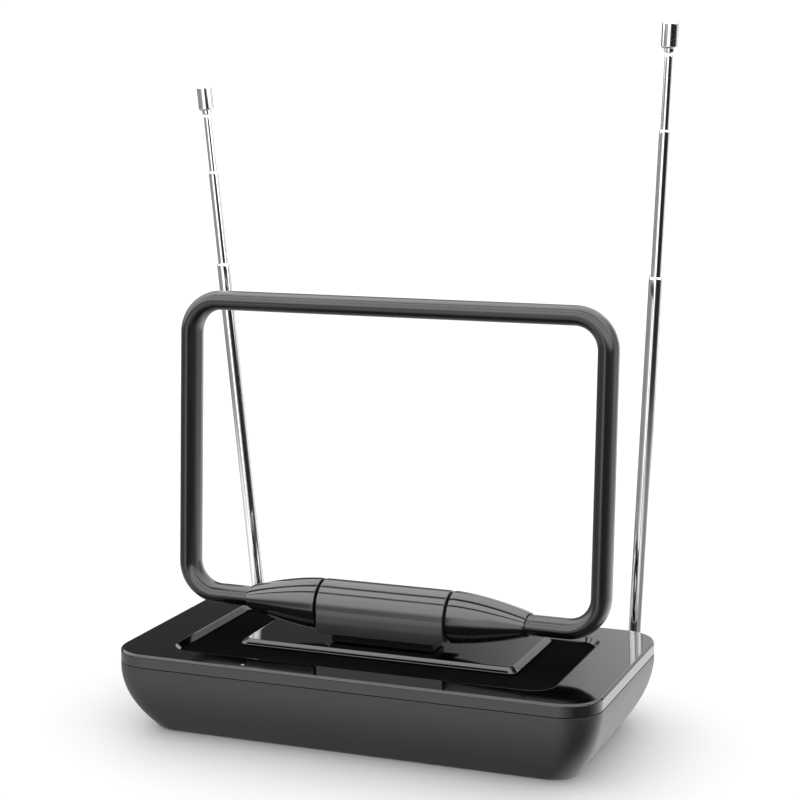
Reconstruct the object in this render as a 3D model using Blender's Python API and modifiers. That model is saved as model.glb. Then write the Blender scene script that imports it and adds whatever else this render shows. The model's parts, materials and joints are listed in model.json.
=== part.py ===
# Indoor aerial: a wide low base, a tilting UHF loop on a barrel hinge and two
# telescopic VHF rods on swivels behind the base. Metres, +Z up. The origin is the
# middle of the flat underside.
import math

import bmesh
import bpy
from mathutils import Vector

# ---- fits -------------------------------------------------------------------------
GAP = 0.0003            # between faces that touch
SLIDE_GAP = 0.0003      # round a shaft, pin or sliding tube, on the radius
SCREW_GAP = 0.0003      # round a screw shank, on the radius
EDGE = 0.0004           # broken edge of a turned or moulded piece
THROUGH = 0.0200        # length of a cutter that only has to pass through a wall

# ---- base -------------------------------------------------------------------------
CASE_WIDTH = 0.210
CASE_DEPTH = 0.110
CASE_CORNER = 0.016     # plan radius at the seam
FOOT_CORNER = 0.011     # plan radius at the underside
HULL_INSET_X = 0.0125   # how far the hull draws in from the seam to the underside
HULL_INSET_Y = 0.014
HULL_POWER = 2.0
HULL_SHARES = (0.0, 0.04, 0.16, 0.34, 0.54, 0.75)   # heights of the hull's rings
INNER_SHARES = (0.88, 0.59, 0.29)                   # and of the rings inside it
SEAM_HEIGHT = 0.0306
COVER_BAND = 0.0054     # height of the cover's side above the seam
SHELL_WALL = 0.0022
COVER_WALL = 0.0018
COVER_EDGE = 0.0010     # rounding of the cover's top edge
TONGUE_WALL = 0.0012
TONGUE_DROP = 0.0018    # how far the cover's tongue reaches below the seam
TONGUE_NOTCH = 0.0040   # half the gap in the tongue round the light guide
CASE_SIDE = CASE_WIDTH / 2
CASE_BACK = CASE_DEPTH / 2
SHELL_TOP = SEAM_HEIGHT - GAP / 2
COVER_TOP = SEAM_HEIGHT + COVER_BAND

# ---- recess in the cover and the deck in it ---------------------------------------
RIM_SIDE = 0.0234       # cover left beside the recess
RIM_FRONT = 0.0153
RIM_BACK = 0.0184
RECESS_DEPTH = 0.0030
RECESS_CORNER = 0.0080
RECESS_LIP = 0.0020
MOAT_SIDE = 0.0196      # floor left beside the deck
MOAT_FRONT = 0.0220
DECK_CORNER = 0.0034
DECK_BEVEL = 0.0020
RECESS_HALF_X = CASE_SIDE - RIM_SIDE
RECESS_FRONT = RIM_FRONT - CASE_BACK
RECESS_BACK = CASE_BACK - RIM_BACK
RECESS_FLOOR = COVER_TOP - RECESS_DEPTH
RECESS_MID = (RECESS_FRONT + RECESS_BACK) / 2
RECESS_HALF_Y = (RECESS_BACK - RECESS_FRONT) / 2
DECK_HALF_X = RECESS_HALF_X - MOAT_SIDE
DECK_FRONT = RECESS_FRONT + MOAT_FRONT

# ---- barrel hinge -----------------------------------------------------------------
BARREL_Y = -0.0015
BARREL_RADIUS = 0.0110
BARREL_CLEAR = 0.0035   # air between the cones and the cover
BARREL_HALF = 0.0285    # half the length of the fixed middle
SKIRT_DROP = BARREL_RADIUS - 0.0010     # straight side below the hinge axis
HOUSING_WALL = 0.0016
CONE_GAP = 0.0012       # shadow gap between the middle and each cone
CONE_LENGTH = 0.0330
CONE_POWER = 1.65
CONE_EDGE = 0.0005
CONE_STEPS = 8
CONE_TIP_WALL = 0.0006
SHAFT_RADIUS = 0.0040
SHAFT_WALL = 0.0013
SHAFT_GRIP = 0.0066     # length of shaft held inside each cone
SLOT_HALF = 0.0065      # half length of the shaft's wire slot
NECK_HALF_X = BARREL_HALF - 0.0055
NECK_HALF_Y = 0.0070
SADDLE_STEP = 0.0025    # saddle shoulder above the bottom of the skirt
SADDLE_CLEAR = 0.0015   # air between the shaft and the saddle's middle
CHEEK_THICK = 0.0060
SPRING_THICK = 0.0006
SPRING_WIDTH = 0.0070
BARREL_SCREW_X = NECK_HALF_X - 0.0080
CONE_SCREW_SUNK = 0.0010    # head end below the cone's surface
CONE_SCREW_ENTRY = 0.0008   # point inside the shaft's wall
SADDLE_PILOT = 0.0070
WIRE_HOLE = 0.0036
BARREL_Z = COVER_TOP + BARREL_CLEAR + BARREL_RADIUS
HINGE = (0.0, BARREL_Y, BARREL_Z)
NECK_LOW = COVER_TOP + GAP
SADDLE_TOP = BARREL_Z - SHAFT_RADIUS - SADDLE_CLEAR
CONE_START = BARREL_HALF + CONE_GAP
CONE_END = CONE_START + CONE_LENGTH
SHAFT_HALF = CONE_START + SHAFT_GRIP
CONE_SCREW_X = (CONE_START + SHAFT_HALF) / 2

# ---- loop -------------------------------------------------------------------------
LOOP_HALF_X = 0.0930    # to the middle of the upright tubes
LOOP_RISE = 0.1280      # from the hinge axis to the middle of the top tube
LOOP_BEND = 0.0140      # bend radius at the middle of the tube
LOOP_HALF_THICK = 0.00415   # half the oval section, in the plane of the loop
LOOP_HALF_DEPTH = 0.0069    # half the oval section, front to back
LOOP_WALL = 0.0014
LOOP_GRIP = 0.0180      # length of tube held inside each cone
LOOP_LEAN = math.radians(3.1)
CONDUCTOR_RADIUS = 0.0016
CONDUCTOR_START = 0.0020    # beyond the end of the shaft
PASSAGE_RADIUS = CONDUCTOR_RADIUS + 0.0006
TUBE_END = CONE_END - LOOP_GRIP

# ---- rods and their swivels -------------------------------------------------------
ROD_INSET = 0.0148      # rod axis in from the side of the case
ROD_CLEAR = 0.0085      # rod axis behind the seat of its swivel
ROD_DROP = 0.0096       # swivel axis below the seam
BOSS_RADIUS = 0.0065
BOSS_PROUD = 0.0005     # flat seats stand just proud of the case
BOSS_CLEAR = 0.00174    # boss inside the shell's wall where the lug hangs lowest
SHANK_RADIUS = 0.0030
SHANK_BEYOND = 0.0055   # threaded end past the boss, for the lug and nut
STUD_COLLAR_RADIUS = 0.0054
STUD_COLLAR = 0.0016
TONGUE_THICK = 0.0026
FORK_CHEEK = 0.0016
PIN_RADIUS = 0.0010
PIN_HEAD = 0.0006       # how far the pin's head overhangs and stands out
PIN_PROUD = 0.0002
TUBE_START = 0.0058     # lower end of the lowest tube above the pin
FOOT_FLANGE = 0.0009
LOWER_RADIUS = 0.0030
LOWER_WALL = 0.0004
MIDDLE_WALL = 0.0002
UPPER_WALL = 0.0005
LOWER_LENGTH = 0.1622
PLUG_LENGTH = 0.0100    # plug of the foot inside the lowest tube
NEST_STEP = 0.0010      # each tube stops this far above the one it slides in
LIP_SHOWN = 0.0010      # tube left standing out when it is pushed right in
TIP_OVERHANG = 0.0018
TIP_LENGTH = 0.0117
TIP_DOME = 0.0016
TIP_COLLAR = 0.0016
SPIGOT_LENGTH = 0.0080
LUG_THICK = 0.0005
LUG_RADIUS = 0.0047
LUG_TAIL = 0.0090       # reach of the lug's tail from the stud
NUT_CORNER = 0.0050
NUT_HEIGHT = 0.0030
RODS = {
    "left": {"side": -1, "lean": math.radians(-5.8), "middle_out": 0.0415, "upper_out": 0.0257},
    "right": {"side": 1, "lean": math.radians(2.3), "middle_out": 0.0610, "upper_out": 0.0314},
}
ROD_X = CASE_SIDE - ROD_INSET
BOSS_FACE = CASE_BACK + BOSS_PROUD
LUG_DROP = (ROD_DROP + LUG_RADIUS) / SEAM_HEIGHT
BOSS_INNER = CASE_BACK - HULL_INSET_Y * LUG_DROP ** HULL_POWER - SHELL_WALL - BOSS_CLEAR
SHANK_END = BOSS_INNER - SHANK_BEYOND
ROD_Y = BOSS_FACE + ROD_CLEAR
ROD_Z = SEAM_HEIGHT - ROD_DROP
FORK_HALF = TONGUE_THICK / 2 + SLIDE_GAP + FORK_CHEEK   # half the fork's outside width
FORK_REACH = LOWER_RADIUS + 0.0006                      # fork beyond the pin
LOWER_BORE = LOWER_RADIUS - LOWER_WALL
MIDDLE_RADIUS = LOWER_BORE - SLIDE_GAP
MIDDLE_BORE = MIDDLE_RADIUS - MIDDLE_WALL
UPPER_RADIUS = MIDDLE_BORE - SLIDE_GAP
UPPER_BORE = UPPER_RADIUS - UPPER_WALL
TIP_RADIUS = UPPER_RADIUS + TIP_OVERHANG
TIP_COLLAR_RADIUS = UPPER_RADIUS + EDGE
LOWER_END = TUBE_START + LOWER_LENGTH
MIDDLE_START = TUBE_START + PLUG_LENGTH + NEST_STEP
MIDDLE_LENGTH = LOWER_END + LIP_SHOWN - MIDDLE_START
UPPER_START = MIDDLE_START + NEST_STEP
UPPER_LENGTH = MIDDLE_LENGTH + LIP_SHOWN - 2 * NEST_STEP

# ---- inside the base --------------------------------------------------------------
PAD_INSET_X = 0.0285    # pads in from the sides and from the front and back
PAD_INSET_Y = 0.0250
PAD_RADIUS = 0.0060
PAD_THICK = 0.0010
PAD_EDGE = 0.0003
SCREW_INSET_X = 0.0450
SCREW_INSET_Y = 0.0270
CASE_BOSS = 0.0045
COVER_BOSS = 0.0037
HEAD_SEAT = 0.0060      # where a case screw's head bears, above the underside
SEAT_THICK = 0.0040     # boss left above that seat
SCREW_HEAD = 0.0028
SCREW_HEAD_TALL = 0.0018
SCREW_SHANK = 0.0014
CASE_SCREW_LENGTH = 0.0150
BARREL_SCREW_LENGTH = 0.0100
BOARD_SCREW_LENGTH = 0.0075
BALLAST_CLEAR = 0.0080      # from its ends to the case screws
BALLAST_THICK = 0.0030
BALLAST_MARGIN = 0.0060     # from the edge of the flat underside
BALLAST_BACK = 0.0050
BOARD_WIDTH = 0.0290    # front to back
BOARD_THICK = 0.0016
BOARD_BACK = 0.0260     # middle of the board in from the back of the case
BOARD_Z = 0.0120
BOARD_POST = 0.0032
BOARD_SCREW_INSET = 0.0070
TRANSFORMER_RADIUS = 0.0055
TRANSFORMER_BORE = 0.0026
TRANSFORMER_HEIGHT = 0.0040
CAN_CLEAR = 0.0020      # from the shield can to the transformer and to the screw head
CAN_HEIGHT = 0.0060
CAN_FRONT = 0.0090      # forward and back of the board's middle
CAN_BACK = 0.0070
TRANSFORMER_FORWARD = 0.0040
SOCKET_DROP = 0.0136    # socket axis below the seam
SOCKET_RADIUS = 0.0047
SOCKET_REACH = 0.0090
SOCKET_DEPTH = 0.0095   # connector bosses inside the widest face of the case
SOCKET_BEYOND = 0.0015
SOCKET_BOSS = 0.0080
SOCKET_MOUTH = 0.0018   # rim of the socket's outer contact
CONTACT_RADIUS = 0.0007
COAX_NUT_CORNER = SOCKET_RADIUS + 0.0022
COAX_NUT_HEIGHT = 0.0022
INLET_X = -0.0260
INLET_RADIUS = 0.0038
INLET_BOSS = 0.0062
INLET_BORE = 0.0028
INLET_PIN = 0.0010
INLET_FLANGE = 0.0010
INLET_DEPTH = 0.0060
LIGHT_FROM_SIDE = 0.0608
LIGHT_FROM_FRONT = 0.0042
LIGHT_RADIUS = 0.0008
LIGHT_COLLAR = 0.0012
LED_RADIUS = 0.0015
LED_HEIGHT = 0.0042
WIRE_RADIUS = 0.0006
LEAD_SPACING = 0.0045   # between the points of a lead
LEAD_STEPS = 20
LEAD_LAND = 0.0020      # where a lead is soldered, in from the edge of the board
PAD_X = CASE_SIDE - PAD_INSET_X
PAD_Y = CASE_BACK - PAD_INSET_Y
CASE_SCREW_X = CASE_SIDE - SCREW_INSET_X
CASE_SCREW_Y = CASE_BACK - SCREW_INSET_Y
CASE_BOSS_TOP = HEAD_SEAT + SEAT_THICK
BALLAST_HALF_X = CASE_SCREW_X - BALLAST_CLEAR
BALLAST_FRONT = HULL_INSET_Y + BALLAST_MARGIN - CASE_BACK
BOARD_HALF_X = CASE_SCREW_X - 0.0190
BOARD_SCREW_X = BOARD_HALF_X - BOARD_SCREW_INSET
BOARD_Y = CASE_BACK - BOARD_BACK
BOARD_TOP = BOARD_Z + BOARD_THICK + GAP
TRANSFORMER_X = -0.41 * BOARD_SCREW_X
SOCKET_FACE = BOSS_FACE
SOCKET_INNER = CASE_BACK - SOCKET_DEPTH
SOCKET_Z = SEAM_HEIGHT - SOCKET_DROP
LIGHT_X = LIGHT_FROM_SIDE - CASE_SIDE
LIGHT_Y = LIGHT_FROM_FRONT - CASE_BACK

CORNER_STEPS = 5        # facets in each rounded plan corner
ROUND = 20              # facets round a large turned piece
FINE = 12               # facets round a small one
ALONG_X = (0, math.radians(90), 0)
ALONG_Y = (math.radians(-90), 0, 0)
UPSIDE_DOWN = (math.pi, 0, 0)
SECTION_YZ = (math.radians(90), 0, math.radians(90))   # local XY becomes YZ
SECTION_XZ = (math.radians(90), 0, 0)                  # local XY becomes XZ


# ---- scene and helpers ------------------------------------------------------------
def empty_scene():
    for item in list(bpy.data.objects):
        bpy.data.objects.remove(item, do_unlink=True)


def make_collection(name):
    made = bpy.data.collections.new(name)
    bpy.context.scene.collection.children.link(made)
    return made


empty_scene()
parts = make_collection("indoor_aerial")
guides = make_collection("cutters")


def make_finish(name, colour, roughness, metallic=0.0):
    made = bpy.data.materials.new(name)
    made.use_nodes = True
    shader = made.node_tree.nodes["Principled BSDF"]
    shader.inputs["Base Color"].default_value = (*colour, 1.0)
    shader.inputs["Roughness"].default_value = roughness
    shader.inputs["Metallic"].default_value = metallic
    return made


gloss_black = make_finish("gloss_black_abs", (0.006, 0.006, 0.007), 0.08)
satin_black = make_finish("satin_black_abs", (0.016, 0.016, 0.017), 0.38)
rubber = make_finish("black_rubber", (0.02, 0.02, 0.02), 0.8)
clear = make_finish("frosted_light_guide", (0.75, 0.8, 0.8), 0.3)
board_green = make_finish("circuit_board_green", (0.02, 0.12, 0.05), 0.4)
ferrite = make_finish("grey_ferrite", (0.06, 0.06, 0.065), 0.7)
nylon = make_finish("white_nylon", (0.7, 0.7, 0.66), 0.45)
wire_grey = make_finish("grey_wire_sleeve", (0.12, 0.12, 0.13), 0.5)
wire_red = make_finish("red_wire_sleeve", (0.45, 0.03, 0.02), 0.5)
chrome = make_finish("chrome_plated_brass", (0.82, 0.83, 0.85), 0.07, 1.0)
nickel = make_finish("nickel_plated_brass", (0.66, 0.63, 0.58), 0.25, 1.0)
zinc_steel = make_finish("zinc_plated_steel", (0.62, 0.63, 0.65), 0.35, 1.0)
tinplate = make_finish("tinplate", (0.7, 0.7, 0.7), 0.3, 1.0)
aluminium = make_finish("bare_aluminium_wire", (0.78, 0.78, 0.79), 0.4, 1.0)


def place(item, finish, parent=None, location=(0, 0, 0), rotation=(0, 0, 0)):
    """Put a piece in the parts collection with its finish and its frame."""
    parts.objects.link(item)
    item.data.materials.clear()
    item.data.materials.append(finish)
    item.parent = parent
    item.location = location
    item.rotation_euler = rotation
    return item


def as_guide(item, parent=None, location=(0, 0, 0), rotation=(0, 0, 0)):
    guides.objects.link(item)
    item.hide_render = True
    item.display_type = "WIRE"
    item.parent = parent
    item.location = location
    item.rotation_euler = rotation
    return item


def mesh_object(name, work):
    data = bpy.data.meshes.new(name)
    work.to_mesh(data)
    work.free()
    return bpy.data.objects.new(name, data)


def frame_at(name, location, rotation=(0, 0, 0), parent=None):
    made = bpy.data.objects.new(name, None)
    parts.objects.link(made)
    made.location = location
    made.rotation_euler = rotation
    made.parent = parent
    return made


def block(name, low, high):
    """A box between two corners."""
    work = bmesh.new()
    bmesh.ops.create_cube(work, size=1.0)
    middle = [(a + b) / 2 for a, b in zip(low, high)]
    for vertex in work.verts:
        vertex.co = [m + c * (b - a) for m, c, a, b in zip(middle, vertex.co, low, high)]
    return mesh_object(name, work)


def cylinder(name, radius, length, facets=FINE):
    """A cylinder along local Z, centred on its origin."""
    work = bmesh.new()
    bmesh.ops.create_cone(work, cap_ends=True, segments=facets,
                          radius1=radius, radius2=radius, depth=length)
    return mesh_object(name, work)


def turned(name, profile, facets=FINE, closed=False):
    """Turn (radius, height) points about local Z; the outer side runs top to bottom."""
    work = bmesh.new()
    verts = [work.verts.new((radius, 0.0, height)) for radius, height in profile]
    pairs = list(zip(verts, verts[1:]))
    if closed:
        pairs.append((verts[-1], verts[0]))
    for first, second in pairs:
        work.edges.new((first, second))
    item = mesh_object(name, work)
    screw = item.modifiers.new("turn", "SCREW")
    screw.steps = facets
    screw.render_steps = facets
    screw.use_merge_vertices = True
    screw.merge_threshold = 0.00005
    screw.use_smooth_shade = True
    return item


def lofted(name, rings, ring_shaped=False):
    """Skin a run of rings; the ends are capped, or joined to each other if ring_shaped."""
    work = bmesh.new()
    rows = [[work.verts.new(point) for point in ring] for ring in rings]
    runs = list(zip(rows, rows[1:]))
    if ring_shaped:
        runs.append((rows[-1], rows[0]))
    for lower, upper in runs:
        for index in range(len(lower)):
            after = (index + 1) % len(lower)
            work.faces.new((lower[index], lower[after], upper[after], upper[index]))
    if not ring_shaped:
        work.faces.new(list(reversed(rows[0])))
        work.faces.new(rows[-1])
    return mesh_object(name, work)


def extruded(name, outline, thickness):
    """A flat outline in local XY, extruded half its thickness each way along local Z."""
    work = bmesh.new()
    face = work.faces.new([work.verts.new((x, y, -thickness / 2)) for x, y in outline])
    grown = bmesh.ops.extrude_face_region(work, geom=[face])
    for element in grown["geom"]:
        if isinstance(element, bmesh.types.BMVert):
            element.co.z = thickness / 2
    bmesh.ops.recalc_face_normals(work, faces=work.faces)
    return mesh_object(name, work)


def boolean(item, cutter, operation="DIFFERENCE"):
    step = item.modifiers.new(operation.lower(), "BOOLEAN")
    step.operation = operation
    step.object = cutter
    step.solver = "EXACT"


def bevel(item, width, segments=2, angle=40):
    step = item.modifiers.new("edges", "BEVEL")
    step.width = width
    step.segments = segments
    step.limit_method = "ANGLE"
    step.angle_limit = math.radians(angle)


def smooth(item, angle=35):
    item.data.shade_smooth()
    item.data.set_sharp_from_angle(angle=math.radians(angle))


def hex_nut(name, corner, height, shank, parent, location):
    """Hexagon nut with its hole along Y."""
    outline = arc((0, 0), corner, 0, 300, 5)
    nut = place(extruded(name, outline, height), nickel, parent, location, ALONG_Y)
    hole = cylinder(f"{name}_hole", shank + SCREW_GAP, 2 * height, ROUND)
    as_guide(hole, parent, location, ALONG_Y)
    boolean(nut, hole)


def arc(centre, radius, start, end, steps):
    """Points on an arc, angles in degrees."""
    points = []
    for index in range(steps + 1):
        angle = math.radians(start + (end - start) * index / steps)
        points.append((centre[0] + radius * math.cos(angle), centre[1] + radius * math.sin(angle)))
    return points


def rounded_plan(half_x, half_y, radius, z, centre_y=0.0):
    """Rounded rectangle seen from above, anticlockwise."""
    ring = []
    corners = ((1, 1), (-1, 1), (-1, -1), (1, -1))
    for quarter, (side_x, side_y) in enumerate(corners):
        centre = (side_x * (half_x - radius), centre_y + side_y * (half_y - radius))
        for x, y in arc(centre, radius, 90 * quarter, 90 * quarter + 90, CORNER_STEPS):
            ring.append((x, y, z))
    return ring


# ---- lower shell ------------------------------------------------------------------
def hull_plan(z, wall=0.0):
    """The hull's plan at a height: straight at the seam, drawing in towards the ground."""
    drop = max(0.0, (SEAM_HEIGHT - z) / SEAM_HEIGHT)
    inset = drop ** HULL_POWER
    slope = HULL_POWER * drop ** (HULL_POWER - 1) * HULL_INSET_Y / SEAM_HEIGHT
    side = wall * math.hypot(1.0, slope)
    half_x = CASE_SIDE - HULL_INSET_X * inset - side
    half_y = CASE_BACK - HULL_INSET_Y * inset - side
    radius = CASE_CORNER + (FOOT_CORNER - CASE_CORNER) * drop - side
    return rounded_plan(half_x, half_y, max(radius, 0.001), z)


def make_lower_shell():
    rings = [hull_plan(SEAM_HEIGHT * share) for share in HULL_SHARES] + [hull_plan(SHELL_TOP)]
    rings.append(hull_plan(SHELL_TOP, SHELL_WALL))
    rings += [hull_plan(SEAM_HEIGHT * share, SHELL_WALL) for share in INNER_SHARES]
    rings.append(hull_plan(SHELL_WALL, SHELL_WALL))
    shell = place(lofted("lower_shell", rings), satin_black)
    root = SHELL_WALL / 2
    for side_x in (-1, 1):
        for side_y in (-1, 1):
            boss = cylinder("case_boss", CASE_BOSS, CASE_BOSS_TOP - root)
            as_guide(boss, None, (side_x * CASE_SCREW_X, side_y * CASE_SCREW_Y, (CASE_BOSS_TOP + root) / 2))
            boolean(shell, boss, "UNION")
        post_top = BOARD_Z - GAP
        post = cylinder("board_post", BOARD_POST, post_top - root)
        as_guide(post, None, (side_x * BOARD_SCREW_X, BOARD_Y, (post_top + root) / 2))
        boolean(shell, post, "UNION")
        seat = cylinder("swivel_boss", BOSS_RADIUS, BOSS_FACE - BOSS_INNER, ROUND)
        as_guide(seat, None, (side_x * ROD_X, (BOSS_FACE + BOSS_INNER) / 2, ROD_Z), ALONG_Y)
        boolean(shell, seat, "UNION")
    for x, radius in ((0.0, SOCKET_BOSS), (INLET_X, INLET_BOSS)):
        seat = cylinder("connector_boss", radius, SOCKET_FACE - SOCKET_INNER, ROUND)
        as_guide(seat, None, (x, (SOCKET_FACE + SOCKET_INNER) / 2, SOCKET_Z), ALONG_Y)
        boolean(shell, seat, "UNION")
    cut_lower_shell(shell)
    smooth(shell)


def cut_lower_shell(shell):
    shank = SCREW_SHANK + SCREW_GAP
    head = SCREW_HEAD + SCREW_GAP
    for side_x in (-1, 1):
        for side_y in (-1, 1):
            screw_hole = turned("screw_hole", [(0, THROUGH), (shank, THROUGH), (shank, HEAD_SEAT),
                                               (head, HEAD_SEAT), (head, -HEAD_SEAT), (0, -HEAD_SEAT)])
            as_guide(screw_hole, None, (side_x * CASE_SCREW_X, side_y * CASE_SCREW_Y, 0.0))
            boolean(shell, screw_hole)
            pad_hole = cylinder("pad_hole", PAD_RADIUS + GAP, 2 * (PAD_THICK + GAP), ROUND)
            as_guide(pad_hole, None, (side_x * PAD_X, side_y * PAD_Y, 0.0))
            boolean(shell, pad_hole)
        post_hole = cylinder("post_hole", shank, 2 * BOARD_SCREW_LENGTH)
        as_guide(post_hole, None, (side_x * BOARD_SCREW_X, BOARD_Y, BOARD_Z))
        boolean(shell, post_hole)
        swivel_hole = cylinder("swivel_hole", SHANK_RADIUS + SLIDE_GAP, THROUGH, ROUND)
        as_guide(swivel_hole, None, (side_x * ROD_X, (BOSS_FACE + BOSS_INNER) / 2, ROD_Z), ALONG_Y)
        boolean(shell, swivel_hole)
    for x, radius in ((0.0, SOCKET_RADIUS), (INLET_X, INLET_RADIUS)):
        hole = cylinder("connector_hole", radius + GAP, THROUGH, ROUND)
        as_guide(hole, None, (x, (SOCKET_FACE + SOCKET_INNER) / 2, SOCKET_Z), ALONG_Y)
        boolean(shell, hole)


# ---- top cover --------------------------------------------------------------------
def cover_plan(inset, z):
    return rounded_plan(CASE_SIDE - inset, CASE_BACK - inset, CASE_CORNER - inset, z)


def recess_plan(grow, z):
    return rounded_plan(RECESS_HALF_X + grow, RECESS_HALF_Y + grow, RECESS_CORNER + grow, z, RECESS_MID)


def make_top_cover():
    under = COVER_TOP - COVER_WALL
    floor_under = RECESS_FLOOR - COVER_WALL
    skirt = SEAM_HEIGHT + GAP / 2
    rings = [
        recess_plan(COVER_WALL, floor_under),
        recess_plan(COVER_WALL, under),
        cover_plan(COVER_WALL, under),
        cover_plan(COVER_WALL, skirt),
        cover_plan(0.0, skirt),
    ]
    for out, up in arc((0, 0), COVER_EDGE, 0, 90, 4):
        rings.append(cover_plan(COVER_EDGE - out, COVER_TOP - COVER_EDGE + up))
    for out, up in arc((0, 0), RECESS_LIP, 90, 180, 4):
        rings.append(recess_plan(RECESS_LIP + out, COVER_TOP - RECESS_LIP + up))
    rings.append(recess_plan(0.0, RECESS_FLOOR))
    cover = place(lofted("top_cover", rings), gloss_black)
    tongue_out = SHELL_WALL + GAP
    tongue_in = tongue_out + TONGUE_WALL
    tongue_low = SEAM_HEIGHT - TONGUE_DROP
    tongue_high = under + COVER_WALL / 2
    tongue_rings = [cover_plan(tongue_out, tongue_low), cover_plan(tongue_out, tongue_high),
                    cover_plan(tongue_in, tongue_high), cover_plan(tongue_in, tongue_low)]
    tongue = as_guide(lofted("tongue", tongue_rings, ring_shaped=True))
    notch = block("tongue_notch", (LIGHT_X - TONGUE_NOTCH, -CASE_BACK, tongue_low - TONGUE_DROP),
                  (LIGHT_X + TONGUE_NOTCH, LIGHT_Y + TONGUE_NOTCH, under))
    boolean(tongue, as_guide(notch))
    boolean(cover, tongue, "UNION")
    pilot_radius = SCREW_SHANK + SCREW_GAP
    boss_low = CASE_BOSS_TOP + GAP
    boss_high = RECESS_FLOOR - COVER_WALL / 2
    pilot_high = HEAD_SEAT + CASE_SCREW_LENGTH + 2 * GAP
    for side_x in (-1, 1):
        for side_y in (-1, 1):
            spot = (side_x * CASE_SCREW_X, side_y * CASE_SCREW_Y)
            boss = cylinder("cover_boss", COVER_BOSS, boss_high - boss_low)
            as_guide(boss, None, (*spot, (boss_high + boss_low) / 2))
            boolean(cover, boss, "UNION")
            pilot = cylinder("boss_pilot", pilot_radius, pilot_high)
            as_guide(pilot, None, (*spot, pilot_high / 2))
            boolean(cover, pilot)
        screw_hole = cylinder("barrel_screw_hole", pilot_radius, THROUGH)
        as_guide(screw_hole, None, (side_x * BARREL_SCREW_X, BARREL_Y, RECESS_FLOOR))
        boolean(cover, screw_hole)
    wire_hole = cylinder("cover_wire_hole", WIRE_HOLE, THROUGH)
    boolean(cover, as_guide(wire_hole, None, (0, BARREL_Y, RECESS_FLOOR)))
    light_hole = cylinder("light_hole", LIGHT_RADIUS + GAP, THROUGH)
    boolean(cover, as_guide(light_hole, None, (LIGHT_X, LIGHT_Y, COVER_TOP)))
    smooth(cover)


# ---- deck -------------------------------------------------------------------------
def make_deck():
    back = RECESS_BACK - GAP
    middle = (DECK_FRONT + back) / 2
    half_y = (back - DECK_FRONT) / 2
    low = RECESS_FLOOR + GAP
    rings = [
        rounded_plan(DECK_HALF_X, half_y, DECK_CORNER, low, middle),
        rounded_plan(DECK_HALF_X, half_y, DECK_CORNER, COVER_TOP - DECK_BEVEL, middle),
        rounded_plan(DECK_HALF_X - DECK_BEVEL, half_y - DECK_BEVEL, DECK_CORNER - DECK_BEVEL / 2,
                     COVER_TOP, middle),
    ]
    deck = place(lofted("centre_deck", rings), gloss_black)
    shank = SCREW_SHANK + SCREW_GAP
    for x, radius in ((0.0, WIRE_HOLE), (-BARREL_SCREW_X, shank), (BARREL_SCREW_X, shank)):
        hole = cylinder("deck_hole", radius, THROUGH)
        boolean(deck, as_guide(hole, None, (x, BARREL_Y, COVER_TOP)))
    smooth(deck)


# ---- barrel -----------------------------------------------------------------------
def make_saddle():
    end = BARREL_HALF - HOUSING_WALL - GAP
    step = BARREL_Z - SKIRT_DROP + SADDLE_STEP
    outline = [(NECK_HALF_X, NECK_LOW), (NECK_HALF_X, step), (end, step), (end, BARREL_Z),
               (end - CHEEK_THICK, BARREL_Z), (end - CHEEK_THICK, SADDLE_TOP)]
    outline += [(-x, z) for x, z in reversed(outline)]
    saddle = place(extruded("barrel_saddle", outline, 2 * NECK_HALF_Y), satin_black, None,
                   (0, BARREL_Y, 0), SECTION_XZ)
    bevel(saddle, EDGE, 1)
    shaft_seat = cylinder("shaft_seat", SHAFT_RADIUS + SLIDE_GAP, 2 * CONE_START, ROUND)
    boolean(saddle, as_guide(shaft_seat, None, HINGE, ALONG_X))
    wire_hole = cylinder("saddle_wire_hole", WIRE_HOLE, 2 * (BARREL_Z - NECK_LOW))
    boolean(saddle, as_guide(wire_hole, None, (0, BARREL_Y, NECK_LOW)))
    for side in (-1, 1):
        pilot = cylinder("saddle_pilot", SCREW_SHANK + SCREW_GAP, 2 * SADDLE_PILOT)
        boolean(saddle, as_guide(pilot, None, (side * BARREL_SCREW_X, BARREL_Y, NECK_LOW)))


def arch(radius, drop, steps):
    """Round-topped section in (y, z) about the hinge axis, open side down."""
    return arc((0, 0), radius, 0, 180, steps) + [(-radius, -drop), (radius, -drop)]


def make_housing():
    body = extruded("barrel_housing", arch(BARREL_RADIUS, SKIRT_DROP, 24), 2 * BARREL_HALF)
    housing = place(body, satin_black, None, HINGE, SECTION_YZ)
    bevel(housing, EDGE, 2, 50)
    inside = arch(BARREL_RADIUS - HOUSING_WALL, SKIRT_DROP + SADDLE_STEP, 20)
    hollow = extruded("housing_hollow", inside, 2 * (BARREL_HALF - HOUSING_WALL))
    boolean(housing, as_guide(hollow, None, HINGE, SECTION_YZ))
    slot = extruded("housing_shaft_slot", arch(SHAFT_RADIUS + SLIDE_GAP, SKIRT_DROP + SADDLE_STEP, 14),
                    2 * CONE_START)
    boolean(housing, as_guide(slot, None, HINGE, SECTION_YZ))
    smooth(housing)


def make_friction_spring():
    inner = SHAFT_RADIUS + SLIDE_GAP
    outer = inner + SPRING_THICK
    foot_low = SADDLE_TOP + GAP - BARREL_Z
    foot_high = foot_low + SPRING_THICK
    reach = NECK_HALF_Y - EDGE
    outline = [(reach, foot_low), (reach, foot_high), (outer, foot_high)]
    outline += arc((0, 0), outer, 0, 180, 14)
    outline += [(-outer, foot_high), (-reach, foot_high), (-reach, foot_low), (-inner, foot_low)]
    outline += arc((0, 0), inner, 180, 0, 14)
    outline += [(inner, foot_low)]
    place(extruded("friction_spring", outline, SPRING_WIDTH), zinc_steel, None,
          (BARREL_SCREW_X - SPRING_WIDTH / 2, BARREL_Y, BARREL_Z), SECTION_YZ)


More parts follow.
